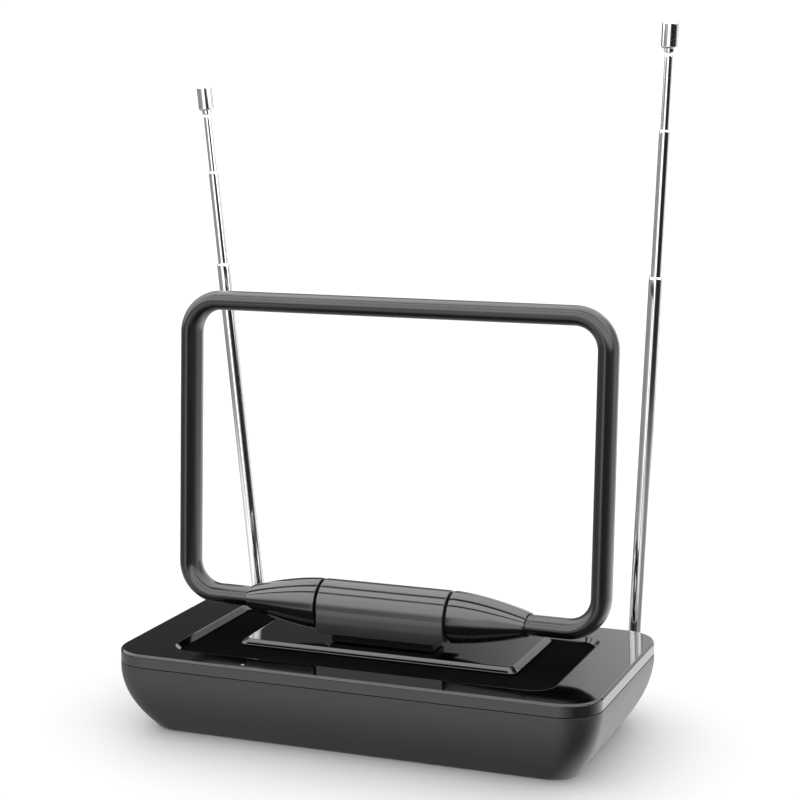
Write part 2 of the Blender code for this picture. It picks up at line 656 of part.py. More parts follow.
def screw_profile(length):
    """Pan head at the top, shank below; the underside of the head is at zero."""
    return [(0, SCREW_HEAD_TALL), (SCREW_HEAD * 0.72, SCREW_HEAD_TALL), (SCREW_HEAD, SCREW_HEAD_TALL / 2),
            (SCREW_HEAD, 0), (SCREW_SHANK, 0), (SCREW_SHANK, SCREW_SHANK - length),
            (SCREW_SHANK / 3, -length), (0, -length)]


def make_barrel_screws():
    under = RECESS_FLOOR - COVER_WALL - GAP
    for name, side in (("left", -1), ("right", 1)):
        screw = turned(f"barrel_screw_{name}", screw_profile(BARREL_SCREW_LENGTH))
        place(screw, zinc_steel, None, (side * BARREL_SCREW_X, BARREL_Y, under), UPSIDE_DOWN)


# ---- loop and cones ---------------------------------------------------------------
def oval(x, half_y, half_z):
    """Ellipse in the YZ plane, anticlockwise seen from +X."""
    angles = [2 * math.pi * index / ROUND for index in range(ROUND)]
    return [(x, half_y * math.cos(angle), half_z * math.sin(angle)) for angle in angles]


def cone_rings():
    grip_y = LOOP_HALF_DEPTH + SLIDE_GAP
    grip_z = LOOP_HALF_THICK + SLIDE_GAP
    tip_y = grip_y + CONE_TIP_WALL
    tip_z = grip_z + CONE_TIP_WALL
    rings = [oval(CONE_START, BARREL_RADIUS - CONE_EDGE, BARREL_RADIUS - CONE_EDGE)]
    for index in range(CONE_STEPS + 1):
        share = index / CONE_STEPS
        pull = share ** CONE_POWER
        rings.append(oval(CONE_START + CONE_EDGE + (CONE_LENGTH - 2 * CONE_EDGE) * share,
                          BARREL_RADIUS + (tip_y - BARREL_RADIUS) * pull,
                          BARREL_RADIUS + (tip_z - BARREL_RADIUS) * pull))
    rings.append(oval(CONE_END, tip_y - CONE_EDGE / 2, tip_z - CONE_EDGE / 2))
    grip_end = TUBE_END - GAP
    shaft_end = SHAFT_HALF + GAP
    bore = SHAFT_RADIUS + SLIDE_GAP
    rings += [oval(CONE_END, grip_y, grip_z), oval(grip_end, grip_y, grip_z),
              oval(grip_end, PASSAGE_RADIUS, PASSAGE_RADIUS),
              oval(shaft_end, PASSAGE_RADIUS, PASSAGE_RADIUS),
              oval(shaft_end, bore, bore), oval(CONE_START, bore, bore)]
    return rings


def make_cones(tilt):
    head_y = BARREL_RADIUS - CONE_SCREW_SUNK
    length = head_y - SHAFT_RADIUS + CONE_SCREW_ENTRY
    hole_low = SHAFT_RADIUS - SHAFT_WALL
    for name, side in (("left", -1), ("right", 1)):
        rings = cone_rings()
        if side < 0:
            rings = [[(-x, y, z) for x, y, z in reversed(ring)] for ring in rings]
        cone = place(lofted(f"cone_{name}", rings, ring_shaped=True), satin_black, tilt)
        hole = cylinder("cone_screw_hole", SCREW_SHANK + SCREW_GAP, THROUGH)
        as_guide(hole, tilt, (side * CONE_SCREW_X, hole_low + THROUGH / 2, 0), ALONG_Y)
        boolean(cone, hole)
        smooth(cone)
        screw = turned(f"cone_screw_{name}", [(0, 0), (SCREW_SHANK, 0),
                                              (SCREW_SHANK, SCREW_SHANK / 2 - length),
                                              (SCREW_SHANK / 2, -length), (0, -length)])
        place(screw, zinc_steel, tilt, (side * CONE_SCREW_X, head_y, 0), ALONG_Y)


def make_shaft(tilt):
    bore = SHAFT_RADIUS - SHAFT_WALL
    tube = turned("hinge_shaft", [(SHAFT_RADIUS, SHAFT_HALF), (SHAFT_RADIUS, -SHAFT_HALF),
                                  (bore, -SHAFT_HALF), (bore, SHAFT_HALF)], ROUND, closed=True)
    shaft = place(tube, nylon, tilt, (0, 0, 0), ALONG_X)
    reach = 1.25 * SHAFT_RADIUS
    slot_edge = -0.1 * SHAFT_RADIUS
    below = block("shaft_slot_below", (-SLOT_HALF, -reach, -reach), (SLOT_HALF, reach, slot_edge))
    boolean(shaft, as_guide(below, tilt))
    front = block("shaft_slot_front", (-SLOT_HALF, -reach, 2 * slot_edge),
                  (SLOT_HALF, 0.0, 0.45 * SHAFT_RADIUS))
    boolean(shaft, as_guide(front, tilt))
    for side in (-1, 1):
        hole = cylinder("shaft_screw_hole", SCREW_SHANK + SCREW_GAP, SHAFT_RADIUS + SHAFT_WALL)
        boolean(shaft, as_guide(hole, tilt, (side * CONE_SCREW_X, SHAFT_RADIUS, 0), ALONG_Y))


def make_washers():
    inner = SHAFT_RADIUS + SLIDE_GAP
    outer = BARREL_RADIUS - HOUSING_WALL - EDGE
    half = (CONE_GAP - 2 * GAP) / 2
    profile = [(outer, half), (outer, -half), (inner, -half), (inner, half)]
    for name, side in (("left", -1), ("right", 1)):
        ring = turned(f"friction_washer_{name}", profile, ROUND, closed=True)
        place(ring, rubber, None, (side * (BARREL_HALF + CONE_GAP / 2), BARREL_Y, BARREL_Z), ALONG_X)


def loop_route(end_x):
    """The loop's centre line in its own XZ plane, from one cone over the top to the other."""
    bend = LOOP_BEND
    inner_x = LOOP_HALF_X - bend
    route = [(-end_x, 0)]
    route += arc((-inner_x, bend), bend, 270, 180, 6)
    route += arc((-inner_x, LOOP_RISE - bend), bend, 180, 90, 6)
    route += arc((inner_x, LOOP_RISE - bend), bend, 90, 0, 6)
    route += arc((inner_x, bend), bend, 0, -90, 6)
    route += [(end_x, 0)]
    return [(x, 0.0, z) for x, z in route]


def tube_curve(name, route, radius, resolution, capped=True):
    data = bpy.data.curves.new(name, "CURVE")
    data.dimensions = "3D"
    data.bevel_depth = radius
    data.bevel_resolution = resolution
    data.use_fill_caps = capped
    spline = data.splines.new("POLY")
    spline.points.add(len(route) - 1)
    for point, place_at in zip(spline.points, route):
        point.co = (*place_at, 1.0)
    return bpy.data.objects.new(name, data)


def make_loop(tilt):
    # a round tube, drawn out front to back into the oval section, then hollowed
    guide = tube_curve("loop_guide", loop_route(TUBE_END), LOOP_HALF_THICK, 6, capped=False)
    bpy.context.scene.collection.objects.link(guide)
    bpy.context.view_layer.update()
    data = bpy.data.meshes.new_from_object(guide.evaluated_get(bpy.context.evaluated_depsgraph_get()))
    bpy.data.objects.remove(guide, do_unlink=True)
    work = bmesh.new()
    work.from_mesh(data)
    for vertex in work.verts:
        vertex.co.y *= LOOP_HALF_DEPTH / LOOP_HALF_THICK
    bmesh.ops.remove_doubles(work, verts=work.verts, dist=0.00001)
    bmesh.ops.recalc_face_normals(work, faces=work.faces)
    tube = place(mesh_object("loop_tube", work), satin_black, tilt)
    shell = tube.modifiers.new("wall", "SOLIDIFY")
    shell.thickness = LOOP_WALL
    shell.offset = -1.0
    tube.data.shade_smooth()
    conductor_end = SHAFT_HALF + CONDUCTOR_START
    place(tube_curve("loop_conductor", loop_route(conductor_end), CONDUCTOR_RADIUS, 2), aluminium, tilt)


# ---- rods -------------------------------------------------------------------------
def make_swivel(name, swing):
    collar_back = BOSS_FACE + GAP - ROD_Y
    collar_front = collar_back + STUD_COLLAR
    shank_end = SHANK_END - ROD_Y
    profile = [(0, collar_front), (STUD_COLLAR_RADIUS - EDGE, collar_front),
               (STUD_COLLAR_RADIUS, collar_front - EDGE), (STUD_COLLAR_RADIUS, collar_back),
               (SHANK_RADIUS, collar_back), (SHANK_RADIUS, shank_end), (0, shank_end)]
    stud = place(turned(f"swivel_stud_{name}", profile, ROUND), nickel, swing, (0, 0, 0), ALONG_Y)
    fork_back = collar_front - EDGE
    outline = [(fork_back, -FORK_REACH), (0, -FORK_REACH)]
    outline += arc((0, 0), FORK_REACH, -90, 90, 8)[1:]
    outline += [(fork_back, FORK_REACH)]
    fork = extruded("fork_block", outline, 2 * FORK_HALF)
    boolean(stud, as_guide(fork, swing, (0, 0, 0), SECTION_YZ), "UNION")
    slot_half = TONGUE_THICK / 2 + SLIDE_GAP
    reach = 2 * FORK_REACH
    slot = block("fork_slot", (-slot_half, collar_front - EDGE / 2, -reach), (slot_half, reach, reach))
    boolean(stud, as_guide(slot, swing))
    pin_hole = cylinder("fork_pin_hole", PIN_RADIUS + SLIDE_GAP, 4 * FORK_HALF)
    boolean(stud, as_guide(pin_hole, swing, (0, 0, 0), ALONG_X))
    half = FORK_HALF + PIN_PROUD
    head_radius = PIN_RADIUS + PIN_HEAD
    pin = turned(f"hinge_pin_{name}", [(0, half + PIN_HEAD), (head_radius, half + PIN_HEAD - PIN_PROUD),
                                       (head_radius, half), (PIN_RADIUS, half), (PIN_RADIUS, -half),
                                       (0, -half)])
    place(pin, nickel, swing, (0, 0, 0), ALONG_X)
    nut_middle = BOSS_INNER - GAP - LUG_THICK - 2 * GAP - NUT_HEIGHT / 2 - ROD_Y
    hex_nut(f"swivel_nut_{name}", NUT_CORNER, NUT_HEIGHT, SHANK_RADIUS, swing, (0, nut_middle, 0))


def make_lug(name, side):
    """Ring terminal under the swivel nut, with a tail for the lead."""
    low = BOSS_INNER - GAP - LUG_THICK
    bore = SHANK_RADIUS + SCREW_GAP
    profile = [(LUG_RADIUS, LUG_THICK), (LUG_RADIUS, 0), (bore, 0), (bore, LUG_THICK)]
    ring = place(turned(f"rod_lug_{name}", profile, ROUND, closed=True), tinplate, None,
                 (side * ROD_X, low, ROD_Z), ALONG_Y)
    inner = side * (ROD_X - (LUG_RADIUS + bore) / 2)
    outer = side * (ROD_X - LUG_TAIL)
    half = SHANK_RADIUS / 2
    tail = block("lug_tail", (min(inner, outer), 0, -half), (max(inner, outer), LUG_THICK, half))
    boolean(ring, as_guide(tail, None, (0, low, ROD_Z)), "UNION")


def make_rod(name, fold, middle_out, upper_out):
    plug_radius = LOWER_BORE - GAP
    plug_top = TUBE_START + PLUG_LENGTH
    flange_top = TUBE_START - GAP
    flange_low = flange_top - FOOT_FLANGE
    profile = [(0, plug_top), (plug_radius - EDGE, plug_top), (plug_radius, plug_top - EDGE),
               (plug_radius, flange_top), (LOWER_RADIUS, flange_top), (LOWER_RADIUS, flange_low),
               (0, flange_low)]
    foot = place(turned(f"rod_foot_{name}", profile), nickel, fold)
    half = LOWER_RADIUS - EDGE / 2
    tongue_top = flange_low + FOOT_FLANGE / 3
    outline = [(half, tongue_top), (-half, tongue_top)] + arc((0, 0), half, 180, 360, 10)
    tongue = extruded("foot_tongue", outline, TONGUE_THICK)
    boolean(foot, as_guide(tongue, fold, (0, 0, 0), SECTION_YZ), "UNION")
    hole = cylinder("foot_pin_hole", PIN_RADIUS + SLIDE_GAP, 4 * FORK_HALF)
    boolean(foot, as_guide(hole, fold, (0, 0, 0), ALONG_X))
    upper_start = UPPER_START + middle_out + upper_out
    tubes = (("lower", LOWER_RADIUS, LOWER_BORE, TUBE_START, LOWER_LENGTH),
             ("middle", MIDDLE_RADIUS, MIDDLE_BORE, MIDDLE_START + middle_out, MIDDLE_LENGTH),
             ("upper", UPPER_RADIUS, UPPER_BORE, upper_start, UPPER_LENGTH))
    for label, radius, bore, start, length in tubes:
        top = start + length
        profile = [(radius - EDGE / 2, top), (radius, top - EDGE), (radius, start), (bore, start),
                   (bore, top)]
        place(turned(f"rod_{label}_{name}", profile, FINE, closed=True), chrome, fold)
    make_tip(name, fold, upper_start + UPPER_LENGTH + GAP)


def make_tip(name, fold, base):
    """Rounded metal tip: a spigot in the top tube, a small collar and the domed body."""
    collar = base + TIP_COLLAR
    top = collar + TIP_LENGTH
    spigot = UPPER_BORE - GAP
    spigot_end = base - SPIGOT_LENGTH
    profile = [(0, top)]
    for out, up in reversed(arc((0, 0), TIP_DOME, 0, 75, 4)):
        profile.append((TIP_RADIUS - TIP_DOME + out, top - TIP_DOME + up))
    profile += [(TIP_RADIUS, collar + EDGE), (TIP_RADIUS - EDGE, collar), (TIP_COLLAR_RADIUS, collar),
                (TIP_COLLAR_RADIUS, base), (spigot, base), (spigot, spigot_end), (0, spigot_end)]
    place(turned(f"rod_tip_{name}", profile, ROUND), chrome, fold)


# ---- inside the base --------------------------------------------------------------
def make_base_fittings():
    for row, side_y in (("front", -1), ("back", 1)):
        for name, side_x in (("left", -1), ("right", 1)):
            screw = turned(f"case_screw_{row}_{name}", screw_profile(CASE_SCREW_LENGTH))
            place(screw, zinc_steel, None, (side_x * CASE_SCREW_X, side_y * CASE_SCREW_Y, HEAD_SEAT - GAP),
                  UPSIDE_DOWN)
            pad = turned(f"foot_pad_{row}_{name}", [(0, PAD_THICK), (PAD_RADIUS, PAD_THICK),
                                                    (PAD_RADIUS, PAD_EDGE), (PAD_RADIUS - PAD_EDGE, 0),
                                                    (0, 0)], ROUND)
            place(pad, rubber, None, (side_x * PAD_X, side_y * PAD_Y, 0))
    low = SHELL_WALL + GAP
    ballast = block("ballast_plate", (-BALLAST_HALF_X, BALLAST_FRONT, low),
                    (BALLAST_HALF_X, BALLAST_BACK, low + BALLAST_THICK))
    bevel(place(ballast, zinc_steel), EDGE, 1)


def make_board():
    half_y = BOARD_WIDTH / 2
    board = place(block("circuit_board", (-BOARD_HALF_X, BOARD_Y - half_y, BOARD_Z),
                        (BOARD_HALF_X, BOARD_Y + half_y, BOARD_Z + BOARD_THICK)), board_green)
    for name, side in (("left", -1), ("right", 1)):
        spot = (side * BOARD_SCREW_X, BOARD_Y)
        hole = cylinder("board_hole", SCREW_SHANK + SCREW_GAP, THROUGH)
        boolean(board, as_guide(hole, None, (*spot, BOARD_Z)))
        screw = turned(f"board_screw_{name}", screw_profile(BOARD_SCREW_LENGTH))
        place(screw, zinc_steel, None, (*spot, BOARD_TOP))
    can_left = TRANSFORMER_X + TRANSFORMER_RADIUS + CAN_CLEAR
    can_right = BOARD_SCREW_X - SCREW_HEAD - CAN_CLEAR
    can = block("shield_can", (can_left, BOARD_Y - CAN_FRONT, BOARD_TOP),
                (can_right, BOARD_Y + CAN_BACK, BOARD_TOP + CAN_HEIGHT))
    bevel(place(can, tinplate), EDGE, 2)
    outer = TRANSFORMER_RADIUS
    bore = TRANSFORMER_BORE
    tall = TRANSFORMER_HEIGHT
    core = turned("matching_transformer",
                  [(outer - EDGE, tall), (outer, tall - EDGE), (outer, EDGE), (outer - EDGE, 0),
                   (bore + EDGE, 0), (bore, EDGE), (bore, tall - EDGE), (bore + EDGE, tall)],
                  FINE, closed=True)
    place(core, ferrite, None, (TRANSFORMER_X, BOARD_Y - TRANSFORMER_FORWARD, BOARD_TOP))


def make_connectors():
    face = SOCKET_FACE + GAP
    outer = SOCKET_FACE + SOCKET_REACH
    inner = SOCKET_INNER - SOCKET_BEYOND
    mouth = SOCKET_RADIUS - SOCKET_MOUTH
    mouth_floor = outer - INLET_PIN
    socket = turned("coax_socket",
                    [(SOCKET_RADIUS - EDGE, outer), (SOCKET_RADIUS, outer - EDGE), (SOCKET_RADIUS, inner),
                     (CONTACT_RADIUS, inner), (CONTACT_RADIUS, mouth_floor), (mouth, mouth_floor),
                     (mouth, outer)], ROUND, closed=True)
    place(socket, nickel, None, (0, 0, SOCKET_Z), ALONG_Y)
    hex_nut("coax_nut", COAX_NUT_CORNER, COAX_NUT_HEIGHT, SOCKET_RADIUS, None,
            (0, face + COAX_NUT_HEIGHT / 2, SOCKET_Z))
    rim = face + INLET_FLANGE
    floor = SOCKET_FACE - INLET_DEPTH
    flange = INLET_RADIUS + INLET_FLANGE
    inlet = turned("dc_inlet",
                   [(0, face), (INLET_PIN - EDGE, face), (INLET_PIN, face - EDGE), (INLET_PIN, floor),
                    (INLET_BORE, floor), (INLET_BORE, rim), (flange, rim), (flange, face),
                    (INLET_RADIUS, face), (INLET_RADIUS, inner), (0, inner)], ROUND)
    place(inlet, satin_black, None, (INLET_X, 0, SOCKET_Z), ALONG_Y)


def make_indicator():
    """Light guide in the cover and the lamp under it; gives the height of the lamp's foot."""
    collar_top = COVER_TOP - COVER_WALL - GAP
    guide_low = collar_top + GAP - LIGHT_COLLAR
    pipe = turned("light_pipe", [(0, COVER_TOP), (LIGHT_RADIUS, COVER_TOP), (LIGHT_RADIUS, collar_top),
                                 (LED_RADIUS, collar_top), (LED_RADIUS, guide_low), (0, guide_low)])
    place(pipe, clear, None, (LIGHT_X, LIGHT_Y, 0))
    led_top = guide_low - GAP
    led_foot = led_top - LED_HEIGHT
    led = turned("indicator_led", [(0, led_top), (LED_RADIUS * 0.7, led_top - EDGE / 2),
                                   (LED_RADIUS, led_top - LED_RADIUS * 0.7), (LED_RADIUS, led_foot),
                                   (0, led_foot)])
    place(led, clear, None, (LIGHT_X, LIGHT_Y, 0))
    return led_foot


# ---- leads ------------------------------------------------------------------------
def smooth_route(knots):
    """Even points on a Catmull-Rom curve through the knots."""
    points = [Vector(knot) for knot in knots]
    ends = [2 * points[0] - points[1]] + points + [2 * points[-1] - points[-2]]
    fine = []
    for a, b, c, d in zip(ends, ends[1:], ends[2:], ends[3:]):
        for index in range(LEAD_STEPS):
            t = index / LEAD_STEPS
            fine.append(0.5 * (2 * b + (c - a) * t + (2 * a - 5 * b + 4 * c - d) * t * t
                               + (3 * b - a - 3 * c + d) * t ** 3))
    fine.append(points[-1])
    length = sum((b - a).length for a, b in zip(fine, fine[1:]))
    count = max(4, round(length / LEAD_SPACING))
    route = [fine[0]]
    travelled = 0.0
    for a, b in zip(fine, fine[1:]):
        travelled += (b - a).length
        if travelled >= len(route) * length / count:
            route.append(b)
    if (route[-1] - fine[-1]).length > LEAD_SPACING / 3:
        route.append(fine[-1])
    return route


def lead(name, knots, finish):
    place(tube_curve(name, smooth_route(knots), WIRE_RADIUS, 1), finish)


def make_leads(led_foot):
    solder = BOARD_TOP + WIRE_RADIUS
    front = BOARD_Y - BOARD_WIDTH / 2 + LEAD_LAND
    back = BOARD_Y + BOARD_WIDTH / 2 - LEAD_LAND
    lug_y = BOSS_INNER - 2 * GAP - LUG_THICK - WIRE_RADIUS
    down = BARREL_Z - 0.0100
    half_way = BARREL_Y + (front - BARREL_Y) * 0.4
    for name, side in (("left", -1), ("right", 1)):
        lead(f"loop_lead_{name}",
             [(side * (SHAFT_HALF + CONDUCTOR_START - 0.0008), BARREL_Y, BARREL_Z),
              (side * 0.020, BARREL_Y, BARREL_Z),
              (side * 0.0058, BARREL_Y, BARREL_Z - 0.0004),
              (side * 0.0024, BARREL_Y, BARREL_Z - SHAFT_RADIUS),
              (side * 0.0018, BARREL_Y, down),
              (side * 0.0018, BARREL_Y, RECESS_FLOOR - 0.0040),
              (side * 0.0030, half_way, solder + 0.0075),
              (side * 0.0060, front - 0.0020, solder + 0.0040),
              (side * 0.0075, front, solder)], wire_grey)
        lead(f"rod_lead_{name}",
             [(side * (ROD_X - LUG_TAIL), lug_y, ROD_Z),
              (side * (ROD_X - 0.0130), lug_y - 0.0010, ROD_Z - 0.0010),
              (side * (ROD_X - 0.0210), back - 0.0005, solder + 0.0034),
              (side * (BOARD_HALF_X + 0.0130), back - 0.0015, solder + 0.0014),
              (side * (BOARD_HALF_X - 0.0015), back, solder)], wire_red)
    reach = front - LIGHT_Y
    lead("led_lead",
         [(LIGHT_X, LIGHT_Y, led_foot - GAP),
          (LIGHT_X, LIGHT_Y + 0.0010, led_foot - 0.0060),
          (LIGHT_X + 0.0020, LIGHT_Y + 0.16 * reach, solder - 0.0015),
          (LIGHT_X + 0.0060, LIGHT_Y + 0.45 * reach, solder - 0.0045),
          (LIGHT_X + 0.0100, LIGHT_Y + 0.75 * reach, solder - 0.0025),
          (LIGHT_X + 0.0140, front, solder)], wire_grey)


# ---- assembly ---------------------------------------------------------------------
def make_aerial():
    make_lower_shell()
    make_top_cover()
    make_deck()
    make_saddle()
    make_housing()
    make_friction_spring()
    make_barrel_screws()
    make_washers()
    tilt = frame_at("loop_tilt_axis", HINGE, (-LOOP_LEAN, 0, 0))
    make_shaft(tilt)
    make_cones(tilt)
    make_loop(tilt)
    for name, rod in RODS.items():
        swing = frame_at(f"swivel_axis_{name}", (rod["side"] * ROD_X, ROD_Y, ROD_Z), (0, rod["lean"], 0))
        fold = frame_at(f"fold_axis_{name}", (0, 0, 0), (0, 0, 0), swing)
        make_swivel(name, swing)
        make_lug(name, rod["side"])
        make_rod(name, fold, rod["middle_out"], rod["upper_out"])
    make_base_fittings()
    make_board()
    make_connectors()
    led_foot = make_indicator()
    make_leads(led_foot)


make_aerial()
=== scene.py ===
# Indoor aerial: the moulded case, barrel hinge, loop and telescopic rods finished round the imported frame.
import json
import math
import bmesh
import bpy
from mathutils import Euler, Matrix, Vector


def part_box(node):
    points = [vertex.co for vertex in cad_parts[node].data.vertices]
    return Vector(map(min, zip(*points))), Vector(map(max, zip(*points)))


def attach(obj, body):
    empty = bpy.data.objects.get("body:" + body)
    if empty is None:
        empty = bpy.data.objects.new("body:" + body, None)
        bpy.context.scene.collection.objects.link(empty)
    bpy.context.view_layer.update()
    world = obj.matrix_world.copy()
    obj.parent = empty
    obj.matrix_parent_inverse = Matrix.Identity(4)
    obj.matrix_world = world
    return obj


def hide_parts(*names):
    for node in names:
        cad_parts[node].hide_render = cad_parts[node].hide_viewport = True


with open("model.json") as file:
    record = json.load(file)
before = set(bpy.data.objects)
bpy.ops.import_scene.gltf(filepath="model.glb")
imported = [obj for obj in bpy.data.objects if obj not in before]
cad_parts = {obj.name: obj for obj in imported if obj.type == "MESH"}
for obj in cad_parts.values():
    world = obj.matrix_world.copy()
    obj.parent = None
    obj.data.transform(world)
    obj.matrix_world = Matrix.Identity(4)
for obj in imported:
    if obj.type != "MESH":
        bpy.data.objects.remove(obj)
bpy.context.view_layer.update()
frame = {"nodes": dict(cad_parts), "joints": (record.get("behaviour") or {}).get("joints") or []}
scene = bpy.context.scene
nodes = frame["nodes"]
print("frame loaded:", len(nodes), "nodes")


# colours are written as sRGB hex and used as linear values
def toLinear(hexCode):
    parts = [int(hexCode[i:i + 2], 16) / 255 for i in (1, 3, 5)]
    return tuple(c / 12.92 if c <= 0.04045 else ((c + 0.055) / 1.055) ** 2.4 for c in parts) + (1.0,)


# one node with its settings; "links" holds values or sockets by input, "stops" a ramp's positions and colours
def addNode(tree, kind, links=None, stops=None, **settings):
    node = tree.nodes.new(kind)
    for name, value in settings.items():
        setattr(node, name, value)
    for name, value in (links or {}).items():
        if isinstance(value, bpy.types.NodeSocket):
            tree.links.new(value, node.inputs[name])
        else:
            node.inputs[name].default_value = value
    if stops:
        while len(node.color_ramp.elements) < len(stops):
            node.color_ramp.elements.new(1.0)
        for element, (position, colour) in zip(node.color_ramp.elements, stops):
            element.position = position
            element.color = colour
    return node


def perMetre(millimetres):
    return 1000.0 / millimetres


# materials
def newMaterial(name, shaderValues):
    made = bpy.data.materials.new(name)
    made.use_nodes = True
    made.node_tree.nodes.clear()
    shader = addNode(made.node_tree, "ShaderNodeBsdfPrincipled", shaderValues)
    addNode(made.node_tree, "ShaderNodeOutputMaterial", {"Surface": shader.outputs[0]})
    coords = addNode(made.node_tree, "ShaderNodeTexCoord").outputs["Object"]
    return made, made.node_tree, shader, coords


def grey(level):
    return (level, level, level, 1.0)


# mixes two colours by a pattern and drives roughness between two values with the same or another pattern
def driveSurface(tree, shader, pattern, colours, roughPattern, roughness):
    tint = addNode(tree, "ShaderNodeValToRGB", {"Fac": pattern},
                   [(0.25, toLinear(colours[0])), (0.75, toLinear(colours[1]))])
    rough = addNode(tree, "ShaderNodeMapRange", {"Value": roughPattern, "From Min": 0.3, "From Max": 0.7,
                                                 "To Min": roughness[0], "To Max": roughness[1]})
    tree.links.new(tint.outputs["Color"], shader.inputs["Base Color"])
    tree.links.new(rough.outputs["Result"], shader.inputs["Roughness"])


def addBump(tree, shader, height, depth, strength=1.0, below=None):
    links = {"Height": height, "Distance": depth, "Strength": strength}
    if below:
        links["Normal"] = below
    bump = addNode(tree, "ShaderNodeBump", links)
    tree.links.new(bump.outputs["Normal"], shader.inputs["Normal"])
    return bump.outputs["Normal"]


glossAbsLook = {"colours": ("#060607", "#0a0a0b"), "roughness": (0.035, 0.075), "ior": 1.53,
                "flowSize": 38.0, "smudgeSize": 14.0, "peelSize": 9.0, "peelDepth": 0.0000022,
                "dustPitch": 3.3, "dustDepth": 0.000004}


# gloss ABS from a polished mould: a black mirror with the faint waviness and dust of a real moulding
def makeGlossAbs():
    look = glossAbsLook
    made, tree, shader, coords = newMaterial("mouldedGlossAbs", {"IOR": look["ior"], "Metallic": 0.0})
    flow = addNode(tree, "ShaderNodeTexNoise", {"Vector": coords, "Scale": perMetre(look["flowSize"]),
                                                "Detail": 3.0, "Roughness": 0.5})
    smudge = addNode(tree, "ShaderNodeTexNoise", {"Vector": coords, "Scale": perMetre(look["smudgeSize"]),
                                                  "Detail": 4.0, "Roughness": 0.62, "Distortion": 0.4})
    driveSurface(tree, shader, flow.outputs["Fac"], look["colours"], smudge.outputs["Fac"], look["roughness"])
    peel = addNode(tree, "ShaderNodeTexNoise", {"Vector": coords, "Scale": perMetre(look["peelSize"]),
                                                "Detail": 1.0})
    waved = addBump(tree, shader, peel.outputs["Fac"], look["peelDepth"])
    dust = addNode(tree, "ShaderNodeTexVoronoi", {"Vector": coords, "Scale": perMetre(look["dustPitch"])})
    speck = addNode(tree, "ShaderNodeMapRange", {"Value": dust.outputs["Distance"], "From Min": 0.0,
                                                 "From Max": 0.05, "To Min": 1.0, "To Max": 0.0})
    addBump(tree, shader, speck.outputs["Result"], look["dustDepth"], 0.6, waved)
    return made


# the real grain is too fine to show, so it is drawn about five times coarser
satinAbsLook = {"colours": ("#111112", "#161617"), "roughness": (0.36, 0.44), "ior": 1.53, "shine": 0.5,
                "grainSize": 0.32, "grainDepth": 0.000010, "patchSize": 26.0}
# the housing's grey base colour, lighter than the cones' otherwise matching look, is painted light for the
# soft light its front catches
housingAbsLook = {"colours": ("#343435", "#3b3b3c"), "roughness": (0.08, 0.12), "ior": 1.57, "shine": 0.5,
                  "grainSize": 0.45, "grainDepth": 0.0000012, "patchSize": 18.0}
coneAbsLook = {"colours": ("#161617", "#1c1c1d"), "roughness": (0.08, 0.12), "ior": 1.62, "shine": 0.5,
               "grainSize": 0.45, "grainDepth": 0.0000012, "patchSize": 18.0}
loopAbsLook = {"colours": ("#0b0b0c", "#0f0f10"), "roughness": (0.22, 0.28), "ior": 1.53, "shine": 0.5,
               "grainSize": 0.30, "grainDepth": 0.0000035, "patchSize": 22.0}
# the well's look: near-black and without reflection, painted shade on the recess floor
wellShadeLook = {"colours": ("#101011", "#151516"), "roughness": (0.42, 0.55), "ior": 1.45, "shine": 0.0,
               "grainSize": 0.30, "grainDepth": 0.0000080, "patchSize": 20.0}
# the saddle's look: darker than the satin ABS and with little shine, painted shade from the barrel above
neckShadeLook = {"colours": ("#060606", "#0a0a0a"), "roughness": (0.35, 0.45), "ior": 1.45, "shine": 0.12,
               "grainSize": 0.32, "grainDepth": 0.0000060, "patchSize": 12.0}


# ABS from a spark-eroded mould: fine even grain that spreads the highlight, a little patchy in large faces
def makeGrainedAbs(name, look):
    made, tree, shader, coords = newMaterial(name, {"IOR": look["ior"], "Metallic": 0.0,
                                                    "Specular IOR Level": look["shine"]})
    patch = addNode(tree, "ShaderNodeTexNoise", {"Vector": coords, "Scale": perMetre(look["patchSize"]),
                                                 "Detail": 5.0, "Roughness": 0.6})
    grain = addNode(tree, "ShaderNodeTexNoise", {"Vector": coords, "Scale": perMetre(look["grainSize"]),
                                                 "Detail": 3.0, "Roughness": 0.7})
    driveSurface(tree, shader, patch.outputs["Fac"], look["colours"], grain.outputs["Fac"], look["roughness"])
    addBump(tree, shader, grain.outputs["Fac"], look["grainDepth"])
    return made


# the drawing lines are wider than real ones, so that they show
chromeLook = {"colours": ("#d9dadd", "#e4e5e8"), "roughness": (0.05, 0.11), "drawSize": 0.55,
              "drawLength": 60.0, "drawDepth": 0.0000012, "hazeSize": 11.0}


# chrome plate on drawn brass: mirror bright, with faint lengthwise drawing lines that break the streaks
def makeChrome():
    look = chromeLook
    made, tree, shader, coords = newMaterial("chromePlatedDrawnBrass", {"Metallic": 1.0})
    stretch = addNode(tree, "ShaderNodeMapping", {"Vector": coords, "Scale": (
        perMetre(look["drawSize"]), perMetre(look["drawSize"]), perMetre(look["drawLength"]))})
    lines = addNode(tree, "ShaderNodeTexNoise", {"Vector": stretch.outputs[0], "Scale": 1.0, "Detail": 3.0})
    haze = addNode(tree, "ShaderNodeTexNoise", {"Vector": coords, "Scale": perMetre(look["hazeSize"]),
                                                "Detail": 4.0, "Roughness": 0.6})
    driveSurface(tree, shader, haze.outputs["Fac"], look["colours"], lines.outputs["Fac"], look["roughness"])
    addBump(tree, shader, lines.outputs["Fac"], look["drawDepth"])
    return made


# real tool rings are about 0.1 mm apart; these are spaced out so that they show
nickelLook = {"colours": ("#b9b4a9", "#cbc6bb"), "roughness": (0.20, 0.30), "ringPitch": 2.01,
              "ringDepth": 0.000004, "tarnishSize": 2.6}


